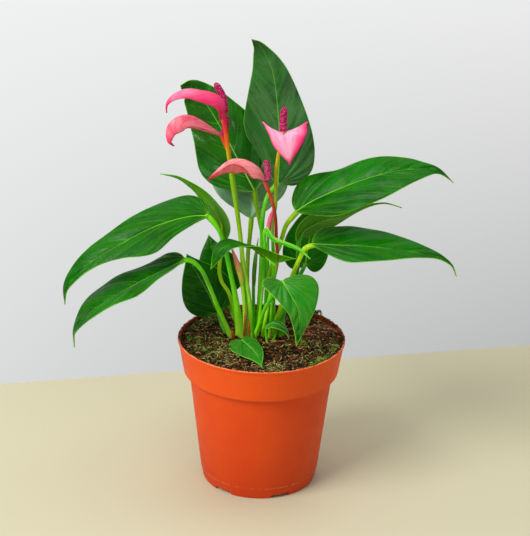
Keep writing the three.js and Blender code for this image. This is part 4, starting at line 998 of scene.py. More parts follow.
def leaf_material(name, look):
    """Pale veins on a mottled blade whose upper side is deeper than its underside."""
    material, g = new_material(name)
    share, along = g.value("share"), g.value("along")
    to_vein = g.times(g.math("PINGPONG", g.value("phase"), 0.5), g.value("spacing"))
    side_vein = g.rest(g.range(to_vein, 0.0, g.line(share, 0.0, 0.95, 0.26, 0.1)))
    side_vein = g.times(side_vein, g.range(share, 0.05, 0.9, 1.0, 0.15),
                        g.range(g.value("phase"), 2.0, 6.0, 1.7, 0.9))
    rib_width = g.line(along, 0.0, 0.9, 0.7, 0.16)
    rib = g.rest(g.range(g.value("rib"), g.times(rib_width, 0.3), rib_width))
    rib = g.times(rib, g.line(along, 0.0, 1.0, 1.0, 0.45))
    calm = g.range(along, 0.75, 1.0, 1.0, 0.0)
    streaks = g.times(g.vein_noise(2.4, 0.9, 3), calm)
    fine = g.times(g.vein_noise(11, 2.5, 3), calm)
    blade = g.mix(g.range(g.noise(38, 3), 0.34, 0.66), look["deep"], look["light"])
    # Painted light and shade, in part: the warm and deep streaks along the veins are the blade's own mottling
    # and also stand for the light and shade of its relief.
    blade = g.mix(g.range(streaks, 0.4, 0.62, 0.0, 0.5), blade, look["warm"])
    blade = g.mix(g.range(fine, 0.4, 0.7, 0.0, 0.4), blade, look["deep"])
    blade = g.mix(g.range(g.noise(330, 4, 0.65), 0.52, 0.72, 0.0, 0.3), blade, look["warm"])
    # Painted shade: the blade deepens towards its tip.
    blade = g.mix(g.range(along, 0.5, 0.95, 0.0, 0.45), blade, look["deep"])
    # Painted glints: pale grey-green flecks in patches along the veins, for the light the glossy blade
    # catches.
    specks_and_glints = g.range(g.noise(1100, 3, 0.6), 0.38, 0.68, 0.0, look.get("specks_and_glints", 0.04))
    patches = g.range(g.vein_noise(1.6, 2.2, 2), 0.54, 0.72)
    blade = g.mix(g.times(specks_and_glints, patches), blade, (140, 190, 140))
    net = g.net(800)
    blade = g.mix(g.times(net, 0.06), blade, look["vein"])
    top = g.mix(g.larger(rib, g.times(side_vein, 0.5)), blade, look["vein"])
    back = g.mix(g.range(streaks, 0.35, 0.7, 0.0, 0.5), look["under"], look["light"])
    back = g.mix(g.times(net, 0.15), back, look["deep"])
    back = g.mix(g.times(g.larger(rib, side_vein), 0.7), back, look["vein"])
    margin = g.rest(g.range(g.value("edge"), 0.2, 0.6))
    edge = g.times(margin, g.range(g.noise(45, 2), 0.35, 0.6, 0.25, 0.85))
    whole = g.mix(edge, g.mix(g.value("upper"), back, top), look["rim"])
    height = g.plus(g.times(fine, 1.2), g.times(streaks, 3.2), g.times(g.noise(700, 3), 0.5))
    g.surface(whole, g.range(g.noise(260, 4), 0.3, 0.7, 0.26, 0.42), look["gloss"], (height, 0.6, 0.0003))
    return material


def leaf_relief(size):
    """Soft cushions between the veins, and a rib that stands out below."""
    def relief(part, way):
        before_tip = 1 - np.clip(part["along"], 0, 1)
        to_vein = np.abs((part["phase"] + 0.5) % 1 - 0.5) * part["spacing"]
        window = np.sin(np.pi * np.clip(part["share"], 0, 1)) ** 0.7
        swell = np.abs(np.sin(np.pi * part["phase"])) ** 1.2 * np.clip(part["spacing"] / 5, 0, 1)
        cushion = CUSHION * size * swell * window * np.clip((1 - part["along"]) * 5, 0, 1)
        if way > 0:
            return cushion - GROOVE * np.exp(-(part["rib"] ** 2)) * before_tip
        ridge = RIDGE * np.exp(-((part["rib"] / 0.9) ** 2)) * (before_tip + 0.05)
        return cushion - ridge - VEIN_RIDGE * np.exp(-((to_vein / 0.45) ** 2)) * window
    return relief


def leaf_thickness(part):
    return EDGE_THICKNESS + (BLADE_THICKNESS - EDGE_THICKNESS) * (1 - part["share"] ** 3)


def make_leaf_blades():
    looks = {key: leaf_material(f"leaf_{key}", look) for key, look in LEAF_LOOKS.items()}
    for name, leaf in LEAVES.items():
        width = leaf["left"]["width"]
        veins = LEAF_VEINS if width > NARROW_LEAF else NARROW_LEAF_VEINS
        relief = leaf_relief(min(1.0, width / FULL_RELIEF_WIDTH))
        *shape, corners, _ = blade_shape(leaf, veins, relief, leaf_thickness)
        add_fine(f"leaf_{name}_blade", shape, looks[leaf.get("look", "grown")], corners)


# Stalks and stems

LIME = (128, 236, 0)
PALE_LIME = (180, 244, 56)
GREEN = (66, 196, 0)
DEEP_GREEN = (34, 140, 0)
OLIVE = (144, 198, 0)
YELLOW_GREEN = (176, 226, 0)
YELLOW = (210, 176, 8)
ORANGE = (232, 104, 10)
MAGENTA = (186, 16, 90)
ROSE = (236, 18, 84)
RED = (228, 52, 40)
RED_BROWN = (160, 36, 20)
SALMON = (240, 124, 130)

STALK_COLOURS = {
    "lime": [(0, LIME), (0.1, PALE_LIME), (0.3, LIME), (0.65, GREEN), (0.9, LIME), (1, PALE_LIME)],
    "olive": [(0, LIME), (0.3, GREEN), (0.55, OLIVE), (0.92, OLIVE), (1, PALE_LIME)],
    "deep": [(0, LIME), (0.2, GREEN), (0.6, DEEP_GREEN), (1, GREEN)],
    "yellow": [(0, LIME), (0.4, YELLOW_GREEN), (1, YELLOW_GREEN)],
}
STALK_LOOKS = {
    "right_high": "olive", "rear": "olive", "upper_left": "olive", "right_far": "deep",
    "shade_right": "deep", "shade_left": "deep", "left_narrow": "yellow", "right_low": "yellow",
}
STEM_COLOURS = {
    "top": [(0, LIME), (0.3, PALE_LIME), (0.5, OLIVE), (0.72, OLIVE), (0.78, YELLOW), (0.82, ORANGE),
            (0.87, RED), (0.93, ROSE), (1, ROSE)],
    "left": [(0, PALE_LIME), (0.2, LIME), (0.6, GREEN), (0.75, OLIVE), (0.86, ORANGE), (0.92, RED),
             (1, SALMON)],
    "front": [(0, LIME), (0.3, PALE_LIME), (0.42, OLIVE), (0.52, RED_BROWN), (0.72, RED_BROWN),
              (0.86, RED), (0.94, ROSE), (1, ROSE)],
    "right": [(0, LIME), (0.4, GREEN), (0.6, OLIVE), (0.8, YELLOW), (0.9, YELLOW), (0.95, MAGENTA),
              (1, MAGENTA)],
    "pink": [(0, LIME), (0.7, GREEN), (0.92, GREEN), (1, SALMON)],
    "sheathed": [(0, LIME), (0.8, PALE_LIME), (1, YELLOW_GREEN)],
    "spear": [(0, LIME), (1, GREEN)],
}


def stalk_material(name):
    """The stalk's own tint with deeper and paler streaks along it."""
    material, g = new_material(name)
    tint = g.value("tint", "Color")
    streaks = g.noise(260, 4, 0.6, stretch=(1, 1, 0.12))
    colour = g.mix(g.range(streaks, 0.4, 0.66, 0.0, 0.3), tint, g.mix(0.75, tint, (12, 52, 0)))
    pale = g.range(g.noise(120, 3, 0.6, stretch=(1, 1, 0.2)), 0.5, 0.7, 0.0, 0.35)
    colour = g.mix(pale, colour, g.mix(0.5, tint, (220, 240, 120)))
    g.surface(colour, g.range(g.noise(500, 2), 0.3, 0.7, 0.34, 0.5), 0.3, (streaks, 0.25, 0.0002),
              (0.12, (0.6, 1.0, 0.2), 0.0012))
    return material


def joint_path(points, frames, radius):
    """The stalk's points, then on along the rib's underside."""
    reach = np.array([0, 3, 8, JOINT_RUN]) / frames["length"]
    drop = JOINT_DROP * radius * np.array([1, 0.9, 0.6, 0.3]) + 0.1
    under = at_share(frames, "point", reach) - at_share(frames, "face", reach) * drop[:, None]
    return np.vstack([*with_depth(points), under])


def stalk_shape(path, radius, stops, joint, sheath, seed):
    """A round stalk: a wide foot in the soil, a slim middle and a swelling below the joint."""
    low, high = radius
    count = max(24, int(even_curve(path, 2)[2] / STALK_STEP))
    curve, tangents, length = even_curve(path, count)
    at = np.linspace(0, length, count)
    radii = low + (high - low) * np.clip(at / length * 2.2, 0, 1)
    if joint:
        to_joint = length - JOINT_RUN - at
        radii = radii * (1 + JOINT_SWELLING * np.exp(-(((to_joint - 3) / 5.5) ** 2)))
        radii = np.where(to_joint < 0, radii * np.clip(1 + to_joint / JOINT_RUN * 0.8, 0.15, 1), radii)
    radii = radii * (1 + sheath * np.exp(-(np.maximum(at - 6, 0) / 9) ** 2))
    turn = circle(STALK_SIDES)
    flutes = 1 + 0.035 * np.cos(2 * turn + seed)[None] + 0.02 * np.sin(5 * turn + seed)[None]
    shares = np.append(np.repeat(at / length, STALK_SIDES), [0, 1])
    return (*tube(curve, tangents, radii[:, None] * flutes, STALK_SIDES), gradient(shares, stops))


def make_leaf_stalks(material):
    for number, (name, leaf) in enumerate(LEAVES.items()):
        path = joint_path(leaf["stalk"], rib_frames(leaf), leaf["radius"][1])
        stops = STALK_COLOURS[STALK_LOOKS.get(name, "lime")]
        shape = stalk_shape(path, leaf["radius"], stops, True, 0.25, number)
        add_fine(f"leaf_{name}_stalk", shape, material)


# Blooms

HOT_PINK = (244, 16, 104)
TIP_PINK = (252, 140, 176)
CURLED_END = (96, 4, 30)
SPATHE_LOOKS = {
    "top": {"back": (236, 6, 88), "pale": (246, 54, 116), "inside": (250, 80, 132), "streak": (222, 4, 88),
            "margin": (214, 2, 84), "heart": 0.7, "margins": (0.6, 0.6), "stripes": 0.3,
            "weave": (3.5, 0.7), "far": 0.75},
    "left": {"back": (236, 84, 100), "pale": (255, 160, 172), "inside": (255, 122, 144),
             "streak": (240, 60, 104), "margin": (204, 30, 74), "heart": 0.1, "margins": (0.3, 0.3),
             "stripes": 0.3, "weave": (3.5, 0.7), "far": 0.0},
    "front": {"back": (255, 138, 138), "pale": (255, 172, 174), "inside": (255, 136, 140),
              "streak": (246, 70, 92), "margin": (196, 30, 60), "heart": 0.1, "margins": (0.2, 0.2),
              "stripes": 0.5, "weave": (3.5, 0.7), "far": 0.0},
    "right": {"back": (246, 96, 152), "pale": (255, 186, 210), "inside": (255, 172, 202),
              "streak": (252, 116, 172), "margin": (246, 10, 112), "heart": 0.0, "margins": (0.45, 1.0),
              "stripes": 0.0, "weave": (0.35, 7.0), "far": 0.0},
}


def spathe_material(name, look):
    """The heart of the bract, near its joint, and its tip are the deepest pink."""
    material, g = new_material(f"spathe_{name}")
    along, share = g.value("along"), g.value("share")
    streaks = g.vein_noise(*look["weave"], 4)
    mottled = g.noise(120, 4, 0.6)
    face = g.mix(g.range(mottled, 0.3, 0.7, 0.0, 0.7), look["inside"], look["pale"])
    back = g.mix(g.range(mottled, 0.3, 0.7, 0.0, 0.8), look["back"], look["pale"])
    colour = g.mix(g.value("upper"), back, face)
    colour = g.mix(g.range(streaks, 0.44, 0.68, 0.0, 0.6), colour, look["streak"])
    lines = g.range(g.math("PINGPONG", g.value("phase"), 0.5), 0.0, 0.12, look["stripes"], 0.0)
    colour = g.mix(lines, colour, look["streak"])
    far = g.times(g.range(along, 0.4, 0.6, 0.0, look["far"]), g.range(streaks, 0.35, 0.6, 0.5, 1.0))
    colour = g.mix(far, colour, TIP_PINK)
    heart = g.range(along, 0.0, 0.5, look["heart"], 0.0)
    colour = g.mix(g.larger(heart, g.range(along, 0.72, 0.98, 0.0, 0.9)), colour, HOT_PINK)
    right, left = look["margins"]
    side = g.times(g.range(share, 0.5, 1.0), g.line(g.value("half"), -1.0, 1.0, left, right))
    edge = g.rest(g.range(g.value("edge"), 0.2, 1.1, 0.1, 1.0))
    colour = g.mix(g.larger(side, edge), colour, look["margin"])
    colour = g.mix(g.range(along, 0.955, 0.995, 0.0, 0.7), colour, CURLED_END)
    height = g.plus(g.times(streaks, 2.0), g.times(g.noise(700, 3), 0.5))
    g.surface(colour, g.range(g.noise(400, 3), 0.3, 0.7, 0.3, 0.42), 0.3, (height, 0.5, 0.0003),
              (0.2, (1.0, 0.4, 0.4), 0.001))
    return material


def spathe_relief(part, way):
    keel = part["keel"] * np.exp(-((part["rib"] / 0.9) ** 2)) * (1 - np.clip(part["along"], 0, 1))
    return SPATHE_LINES * np.sin(part["phase"] * 4 * np.pi) - keel


def spathe_thickness(part):
    return SPATHE_EDGE + (SPATHE_THICKNESS - SPATHE_EDGE) * (1 - part["share"] ** 2)


def spadix_shape(points, seed, pale):
    """A spike studded with florets: low four-sided domes in crossing spirals, some with pale tips."""
    rings, sides = SPADIX_GRID
    curve, tangents, length = even_curve(points, rings)
    at = np.linspace(0, 1, rings)[:, None]
    turn = np.linspace(0, 1, sides, endpoint=False)[None]
    end = np.clip((at - 0.8) / 0.2, 0, 1)
    body = SPADIX_RADIUS * (1 - 0.18 * at) * np.sqrt(np.clip(1 - end**2.4, 0.002, 1))
    start = np.clip(at * length + 0.3, 0, 1)
    start = start * start * (3 - 2 * start)
    body = STIPE_RADIUS + (body - STIPE_RADIUS) * start
    u = at * FLORET_ROWS + turn * FLORET_TURNS
    v = at * FLORET_ROWS - turn * FLORET_TURNS
    dome = np.abs(np.sin(np.pi * u) * np.sin(np.pi * v)) ** 0.6
    radii = body + FLORET_HEIGHT * start * (1 - end) * (dome - 0.5) + 0.1 * end * (dome - 0.5)
    cell = (np.floor(u) * 31 + np.floor(v) * 17).astype(int) % FLORET_KINDS
    chance = np.random.default_rng(seed).uniform(0, 1, FLORET_KINDS)[cell]
    tips = np.clip((dome - 0.8) / 0.08, 0, 1) * np.clip(start * 1.4, 0, 1)
    tips = np.append((tips * np.clip(chance * 2.2 - 1.2 + pale, 0, 1)).ravel(), [0, 0])
    # Painted shade: each floret darkens down into the grooves between florets.
    tint = blend(FLORET_LOW, FLORET_HIGH, np.append(dome.ravel(), [0, 0])[:, None])
    tint = tint + (srgb(*FLORET_TIP) - tint) * (tips * 0.9)[:, None]
    return (*tube(curve, tangents, radii, sides), tint)


def spadix_material():
    material, g = new_material("spadix")
    tint = g.value("tint", "Color")
    colour = g.mix(g.range(g.noise(420, 3), 0.4, 0.7, 0.0, 0.4), tint, (168, 0, 84))
    g.surface(colour, 0.5, 0.15, (g.noise(1800, 2), 0.3, 0.0002))
    return material


def make_blooms(stem_look):
    spadix_look = spadix_material()
    for number, (name, bloom) in enumerate(BLOOMS.items()):
        bloom = {**bloom, "grid": SPATHE_GRID}
        *shape, corners, frames = blade_shape(bloom, SPATHE_VEINS, spathe_relief, spathe_thickness)
        look = spathe_material(name, SPATHE_LOOKS[name])
        add_fine(f"bloom_{name}_spathe", shape, look, corners)
        path = joint_path(bloom["stem"], frames, bloom["radius"][1])
        shape = stalk_shape(path, bloom["radius"], STEM_COLOURS[name], True, 0.1, number + 40)
        add_fine(f"bloom_{name}_stem", shape, stem_look)
        foot = frames["point"][0] + frames["face"][0] * 0.3
        shape = spadix_shape(np.vstack([foot, bloom["spadix"]]), number, bloom.get("pale", 0.0))
        add_fine(f"bloom_{name}_spadix", shape, spadix_look)


# Buds

BUD_COLOURS = {
    "pink": [(0, (232, 130, 130)), (0.3, (248, 120, 142)), (1, (244, 70, 116))],
    "sheathed": [(0, (190, 224, 40)), (0.3, (240, 212, 96)), (0.55, (244, 146, 110)), (1, (238, 124, 130))],
    "spear": [(0, (90, 150, 40)), (1, (60, 130, 40))],
}


def bud_shape(bud, stops):
    """A rolled sheet, whose free edge winds up the bud."""
    rings, sides = BUD_GRID
    curve, tangents, _ = even_curve(bud["bud"], rings)
    at = np.linspace(0, 1, rings)[:, None]
    roll = (np.linspace(0, 1, sides, endpoint=False)[None] + at * 1.1) % 1
    body = bud["thickness"] * np.maximum(0.08, np.sin(np.pi * (0.22 + 0.76 * at)))
    points, faces = tube(curve, tangents, body * (0.92 + 0.14 * roll), sides)
    edge = np.append(np.clip((roll - 0.9) / 0.1, 0, 1).ravel(), [0, 0])
    tint = gradient(np.append(np.broadcast_to(at, roll.shape).ravel(), [0, 1]), stops)
    tint[:, :3] *= 1 - 0.25 * edge[:, None]
    return points, faces, tint


def make_buds(stem_look, bud_look):
    for number, (name, bud) in enumerate(BUDS.items()):
        path = np.array([*with_depth(bud["stem"]), *bud["bud"][:2]], float)
        shape = stalk_shape(path, bud["radius"], STEM_COLOURS[name], False, 0.1, number + 60)
        add_fine(f"bud_{name}_stem", shape, stem_look)
        add_fine(f"bud_{name}", bud_shape(bud, BUD_COLOURS[name]), bud_look)


# Pot

def inner_radius(z):
    if z > BODY_TOP:
        share = (z - BODY_TOP) / (POT_HEIGHT - BODY_TOP)
        return BODY_TOP_RADIUS + (RIM_RADIUS - BODY_TOP_RADIUS) * share - WALL
    share = (z - FOOT_TOP) / (BODY_TOP - FOOT_TOP)
    return FOOT_TOP_RADIUS + (BODY_TOP_RADIUS - FOOT_TOP_RADIUS) * share - WALL


def rounded(profile, reach=0.6, steps=4):
    """The profile with each corner rounded off."""
    out = [np.array(profile[0], float)]
    for a, b, c in zip(profile, profile[1:], profile[2:]):
        a, b, c = (np.array(p, float) for p in (a, b, c))
        before, after = np.linalg.norm(b - a), np.linalg.norm(c - b)
        cut = min(reach, before / 2.2, after / 2.2)
        start, end = b + (a - b) / before * cut, b + (c - b) / after * cut
        for t in np.linspace(0, 1, steps + 1):
            out.append(start * (1 - t) ** 2 + b * 2 * t * (1 - t) + end * t**2)
    out.append(np.array(profile[-1], float))
    return out


def subdivided(profile, step=3.0):
    out = [profile[0]]
    for a, b in zip(profile, profile[1:]):
        count = max(1, int(np.linalg.norm(b - a) / step))
        out += [a + (b - a) * (k + 1) / count for k in range(count)]
    return np.array(out)


def pot_material():
    """Cloudy orange plastic, deeper at its foot and soiled inside, with a painted highlight on its lip and
    its collar painted paler than the shaded body.
    """
    material, g = new_material("pot_plastic")
    x, y, z = g.split(g.place())
    base = g.mix(g.range(g.noise(22, 4, 0.55), 0.1, 0.9), (215, 66, 15), (231, 82, 20))
    specks_and_glints = g.range(g.noise(420, 5, 0.7), 0.66, 0.8, 0.0, 0.35)
    base = g.mix(specks_and_glints, base, (232, 118, 74))
    scuffs = g.range(g.noise(60, 6, 0.75, stretch=(1, 1, 5)), 0.66, 0.8, 0.0, 0.25)
    base = g.mix(scuffs, base, (238, 150, 110))
    # Painted light: the collar is tinted paler, against the body's shade under its overhang.
    collar = g.range(z, COLLAR_BOTTOM * MM, (COLLAR_BOTTOM + 2) * MM, 0.0, 0.5)
    base = g.mix(collar, base, (246, 92, 24))
    base = g.mix(g.range(z, 0.0, 0.06, 0.4, 0.0), base, (176, 46, 8))
    # Painted highlight: a pale, ragged line along the top of the lip.
    lip = g.range(z, (POT_HEIGHT - 0.7) * MM, (POT_HEIGHT - 0.2) * MM, 0.0, 0.7)
    base = g.mix(g.times(lip, g.range(g.noise(160, 4), 0.35, 0.6, 0.3, 1.0)), base, (250, 160, 110))
    ring = g.math("ABSOLUTE", g.math("SUBTRACT", z, (FOOT_TOP + 0.2) * MM))
    ring = g.times(g.range(ring, 0.0001, 0.0004, 0.55, 0.0), g.range(g.noise(420, 2), 0.45, 0.55))
    base = g.mix(ring, base, (250, 150, 100))
    out = g.math("SQRT", g.plus(g.times(x, x), g.times(y, y)))
    out = g.math("SUBTRACT", out, g.times(z, WALL_SLOPE))
    inner = g.times(g.range(out, *WALL_MIDDLE, 1.0, 0.0), g.range(z, 0.09, 0.1))
    dirt = g.times(inner, g.range(g.noise(180, 5, 0.7), 0.35, 0.62, 0.45, 0.95))
    base = g.mix(dirt, base, (92, 38, 18))
    grain = g.plus(g.noise(1500, 3), g.times(g.noise(90, 3, 0.5, stretch=(1, 1, 3)), 1.5))
    g.surface(base, g.range(g.noise(120, 4), 0.3, 0.7, 0.44, 0.58), 0.18, (grain, 0.12, 0.0003),
              (0.08, (1.0, 0.3, 0.1), 0.002))
    return material


def box_shape(low, high):
    x, y, z = zip(low, high)
    points = np.array([(a, b, c) for c in z for b in y for a in x], float)
    faces = np.array([(0, 2, 3, 1), (4, 5, 7, 6), (0, 1, 5, 4), (2, 6, 7, 3), (0, 4, 6, 2), (1, 3, 7, 5)])
    return points, faces


def pot_cutters():
    """Blocks for the notches in the foot ring, and rods for the drain holes."""
    upright = np.tile((0.0, 0.0, 1.0), (3, 1))
    shapes = []
    for i in range(NOTCHES):
        angle = NOTCH_TURN - 90 + 360 * i / NOTCHES
        notch, sides = box_shape((FOOT_RADIUS - 6, -NOTCH_WIDTH / 2, -3),
                                 (FOOT_RADIUS + 6, NOTCH_WIDTH / 2, NOTCH_HEIGHT))
        shapes.append((turned(notch, angle), sides))
        line = np.stack([np.full(3, DRAIN_RING), np.zeros(3), np.linspace(-4, 9, 3)], axis=1)
        drain, sides = tube(line, upright, np.full(3, DRAIN_RADIUS), 24)
        shapes.append((turned(drain, angle), sides))
    return shapes


def make_pot():
    floor_top = FLOOR_BOTTOM + FLOOR_THICKNESS
    profile = rounded([
        (0, 0), (PAD_RADIUS, 0), (PAD_RADIUS, FLOOR_BOTTOM), (FOOT_RADIUS - 2 * WALL, FLOOR_BOTTOM),
        (FOOT_RADIUS - WALL, 0), (FOOT_RADIUS, 0), (FOOT_TOP_RADIUS - 0.3, FOOT_TOP - 0.6),
        (FOOT_TOP_RADIUS, FOOT_TOP), (BODY_TOP_RADIUS, BODY_TOP),
        (COLLAR_FOOT_RADIUS - 0.6, COLLAR_BOTTOM), (COLLAR_FOOT_RADIUS, COLLAR_BOTTOM + 0.8),
        (RIM_RADIUS - LIP_OUT, POT_HEIGHT - LIP_HEIGHT), (RIM_RADIUS, POT_HEIGHT - LIP_HEIGHT + 0.5),
        (RIM_RADIUS, POT_HEIGHT - 0.5), (RIM_RADIUS - 0.5, POT_HEIGHT), (RIM_RADIUS - WALL, POT_HEIGHT),
        (inner_radius(COLLAR_BOTTOM + 2) + 3, COLLAR_BOTTOM + 2), (BODY_TOP_RADIUS - WALL, BODY_TOP),
        (inner_radius(floor_top), floor_top), (0, floor_top),
    ])
    points = swept(subdivided(profile), circle(POT_SIDES))
    faces = grid_faces(len(points) // POT_SIDES, POT_SIDES, wrap=True)
    pot = build("fine_pot", *welded(points, faces, 4))
    tool = build("pot_cutter", *joined(pot_cutters()))
    cut = pot.modifiers.new("cut", "BOOLEAN")
    cut.operation, cut.object, cut.solver = "DIFFERENCE", tool, "EXACT"
    bpy.context.view_layer.update()
    mesh = bpy.data.meshes.new_from_object(pot.evaluated_get(bpy.context.evaluated_depsgraph_get()))
    pot.modifiers.clear()
    pot.data = mesh
    bpy.data.objects.remove(tool)
    mesh.set_sharp_from_angle(angle=math.radians(38))
    mesh.materials.clear()
    dress(pot, pot_material(), "pot")


# Soil

def soil_height(x, y):
    share = np.minimum(1, np.hypot(x, y) / (RIM_RADIUS - 4))
    lumps = np.sin(0.31 * x + 1.1) * np.cos(0.27 * y - 0.4) + 0.6 * np.sin(0.19 * (x - y) + 2)
    return SOIL_EDGE + SOIL_MOUND * np.cos(share * np.pi / 2) + SOIL_LUMP * lumps * (1 - share**4)


def surface_height(x, y):
    """The soil's height with its crumbs, which fade out next to the pot's wall."""
    crumbs = sum(height * lattice_noise(x / width, y / width, seed) for width, height, seed in CRUMBS)
    calm = np.clip((inner_radius(SOIL_EDGE) - 0.1 - np.hypot(x, y)) / 2, 0, 1)
    return soil_height(x, y) + (np.abs(crumbs) * 1.5 - 0.5) * calm


def moss_cover(x, y):
    """How mossy the soil is there."""
    patches = sum(np.exp(-((x - a) ** 2 + (y - b) ** 2) / reach**2) for a, b, reach in MOSSY)
    return np.clip(patches * (0.75 + 0.5 * lattice_noise(x / 6, y / 6, 12)), 0, 1)


def soil_material(name, rough=0.9):
    material, g = new_material(name)
    grains, tint = g.noise(900, 6, 0.7), g.value("tint", "Color")
    colour = g.mix(g.range(grains, 0.44, 0.6), g.mix(0.7, tint, (8, 5, 1)), tint)
    g.surface(colour, rough, 0.15, (grains, 0.6, 0.0006))
    return material


def make_soil():
    rings, sides = SOIL_GRID
    turn = circle(sides)
    radius = np.linspace(1, 0.0, rings) ** 0.8 * (inner_radius(SOIL_EDGE) - 0.1)
    x, y = radius[:, None] * np.cos(turn), radius[:, None] * np.sin(turn)
    top = np.stack([x, y, surface_height(x, y)], axis=-1).reshape(-1, 3)
    floor_top = FLOOR_BOTTOM + FLOOR_THICKNESS + 0.3
    wall = np.array([(0, floor_top), (inner_radius(floor_top) - 0.6, floor_top),
                     (BODY_TOP_RADIUS - WALL - 0.6, BODY_TOP),
                     (inner_radius(COLLAR_BOTTOM + 2) + 2.4, COLLAR_BOTTOM + 2)])
    faces = grid_faces(len(wall) + rings, sides, wrap=True)
    points, faces = welded(np.vstack([swept(wall, turn), top]), faces, 3)
    x, y, z = points.T
    # Painted shade: the soil is tinted near black down in the hollows between its crumbs.
    out_of_hollow_shade = np.clip((z - soil_height(x, y) + 0.4) / 1.2, 0, 1)
    tint = blend((5, 3, 1), (98, 64, 30), out_of_hollow_shade[:, None])
    tint = tint + (srgb(74, 84, 10) - tint) * (moss_cover(x, y) * out_of_hollow_shade * 0.6)[:, None]
    add_fine("soil", (points, faces, tint), soil_material("soil"))


def scattered(rng, count, weight, reach=SOIL_REACH):
    """Places on the soil, drawn with the given weight per place."""
    places = []
    while len(places) < count:
        x, y = rng.uniform(-reach, reach, 2)
        if math.hypot(x, y) < reach and rng.uniform() < weight(x, y):
            places.append((x, y))
    return np.array(places)


def lump(rng, size, flat):
    """A rough grain: a small ball with its points moved about."""
    rings, sides = LUMP_GRID
    at = np.linspace(0.08, 0.92, rings)[:, None]
    turn = circle(sides)
    radii = np.sin(np.pi * at) * rng.uniform(0.75, 1.2, (rings, sides))
    heights = np.broadcast_to(-np.cos(np.pi * at) * flat, (rings, sides))
    points = np.stack([radii * np.cos(turn), radii * np.sin(turn), heights], axis=-1)
    points = np.vstack([points.reshape(-1, 3), (0, 0, -flat), (0, 0, flat)])
    spin = rng.uniform(0, 360)
    return turned(points * size * rng.uniform(0.7, 1.3, 3), spin), closed_faces(rings, sides)


def make_grains():
    rng = np.random.default_rng(7)
    shapes = []
    for count, (small, large), flat, colour, spread in GRAINS:
        for x, y in scattered(rng, count, lambda x, y: 1.0, GRAIN_REACH):
            points, faces = lump(rng, rng.uniform(small, large), flat)
            tone = np.array(srgb(*colour)) * rng.uniform(1 - spread, 1 + spread)
            tone[3] = 1
            shapes.append(painted((points + (x, y, surface_height(x, y) + 0.15), faces), tone))
    add_loose("soil_grains", shapes, soil_material("soil_grain"))


def strand(rng, x, y, heading, length, radius, lift, curl, steps=7):
    """A thin fibre that lies on the soil or arches over it."""
    bends = heading + np.cumsum(rng.normal(0, curl, steps))[:-1]
    steps_out = np.stack([np.cos(bends), np.sin(bends)], axis=1) * length / (steps - 1)
    path = np.vstack([(x, y), (x, y) + np.cumsum(steps_out, axis=0)])
    path = path / np.maximum(np.hypot(path[:, 0], path[:, 1]) / SOIL_REACH, 1)[:, None]
    arch = np.sin(np.linspace(0.05, 1, steps) * np.pi) * lift * length
    curve = np.column_stack([path, surface_height(path[:, 0], path[:, 1]) + 0.2 + arch])
    tangents = unit(np.gradient(curve, axis=0) + 1e-6)
    return tube(curve, tangents, radius * np.linspace(1, 0.45, steps), 4, start=(0, 0, 1.0))


def make_fibres():
    rng = np.random.default_rng(21)
    weights = {
        "moss_fibres": lambda x, y: 0.05 + moss_cover(x, y),
        "peat_fibres": lambda x, y: 0.6,
        "bark_fibres": lambda x, y: 0.08 + np.exp(-((x - 42) ** 2 / 300 + (y - 18) ** 2 / 80)),
    }
    for name, count, (short, long), radius, lift, curl, turns, dark, light in FIBRES:
        shapes = []
        for x, y in scattered(rng, count, weights[name]):
            heading = rng.normal(0, turns)
            shape = strand(rng, x, y, heading, rng.uniform(short, long), radius, lift, curl)
            share = rng.uniform(0.7, 1) if rng.uniform() < 0.3 else rng.uniform(0, 0.3)
            shapes.append(painted(shape, blend(dark, light, share)))
        add_loose(name, shapes, soil_material(name, 0.7))


def leafy(curve, rng, dark, light):
    """A short pointed strand with a colour between the two given ones."""
    radii = MOSS_RADIUS * np.linspace(1, 0.3, len(curve))
    return painted(tube(curve, unit(np.gradient(curve, axis=0)), radii, 4), blend(dark, light, rng.uniform()))


def make_moss():
    """Small green cushions of upright moss, and a sprig that hangs over the rim."""
    rng = np.random.default_rng(33)
    shapes = []
    for x, y, reach in MOSS_SPOTS:
        for _ in range(MOSS_STRANDS):
            far, turn = reach * rng.uniform() ** 0.5, rng.uniform(0, 2 * np.pi)
            px, py = x + far * math.cos(turn), y + far * 0.7 * math.sin(turn)
            tall = rng.uniform(0.8, 1.6) * (1.2 - 0.5 * far / reach)
            lean = rng.normal(0, 0.5, 2)
            foot = np.array([px, py, float(surface_height(px, py)) - 0.2])
            curve = foot + np.outer(np.linspace(0, 1, 4), (lean[0] * tall, lean[1] * tall, tall))
            shapes.append(leafy(curve, rng, (56, 140, 2), (164, 240, 36)))
    run = np.linspace(0, 1, 7)
    for _ in range(SPRIG_STRANDS):
        foot = np.array(SPRIG_FOOT) + rng.normal(0, 0.8, 2)
        out = foot / math.hypot(*foot)
        aside = rng.normal(0, 0.22) * np.array([-out[1], out[0]])
        flat = foot - out * 4 + np.outer(run * (rng.uniform(2, 4.6) + 4), out + aside)
        z = SPRIG_HEIGHT + 4.4 * np.sin(run * 2.3) - 4.2 * run**3
        shapes.append(leafy(np.column_stack([flat, z]), rng, (34, 84, 10), (104, 150, 44)))
    add_loose("moss", shapes, soil_material("moss", 0.7))


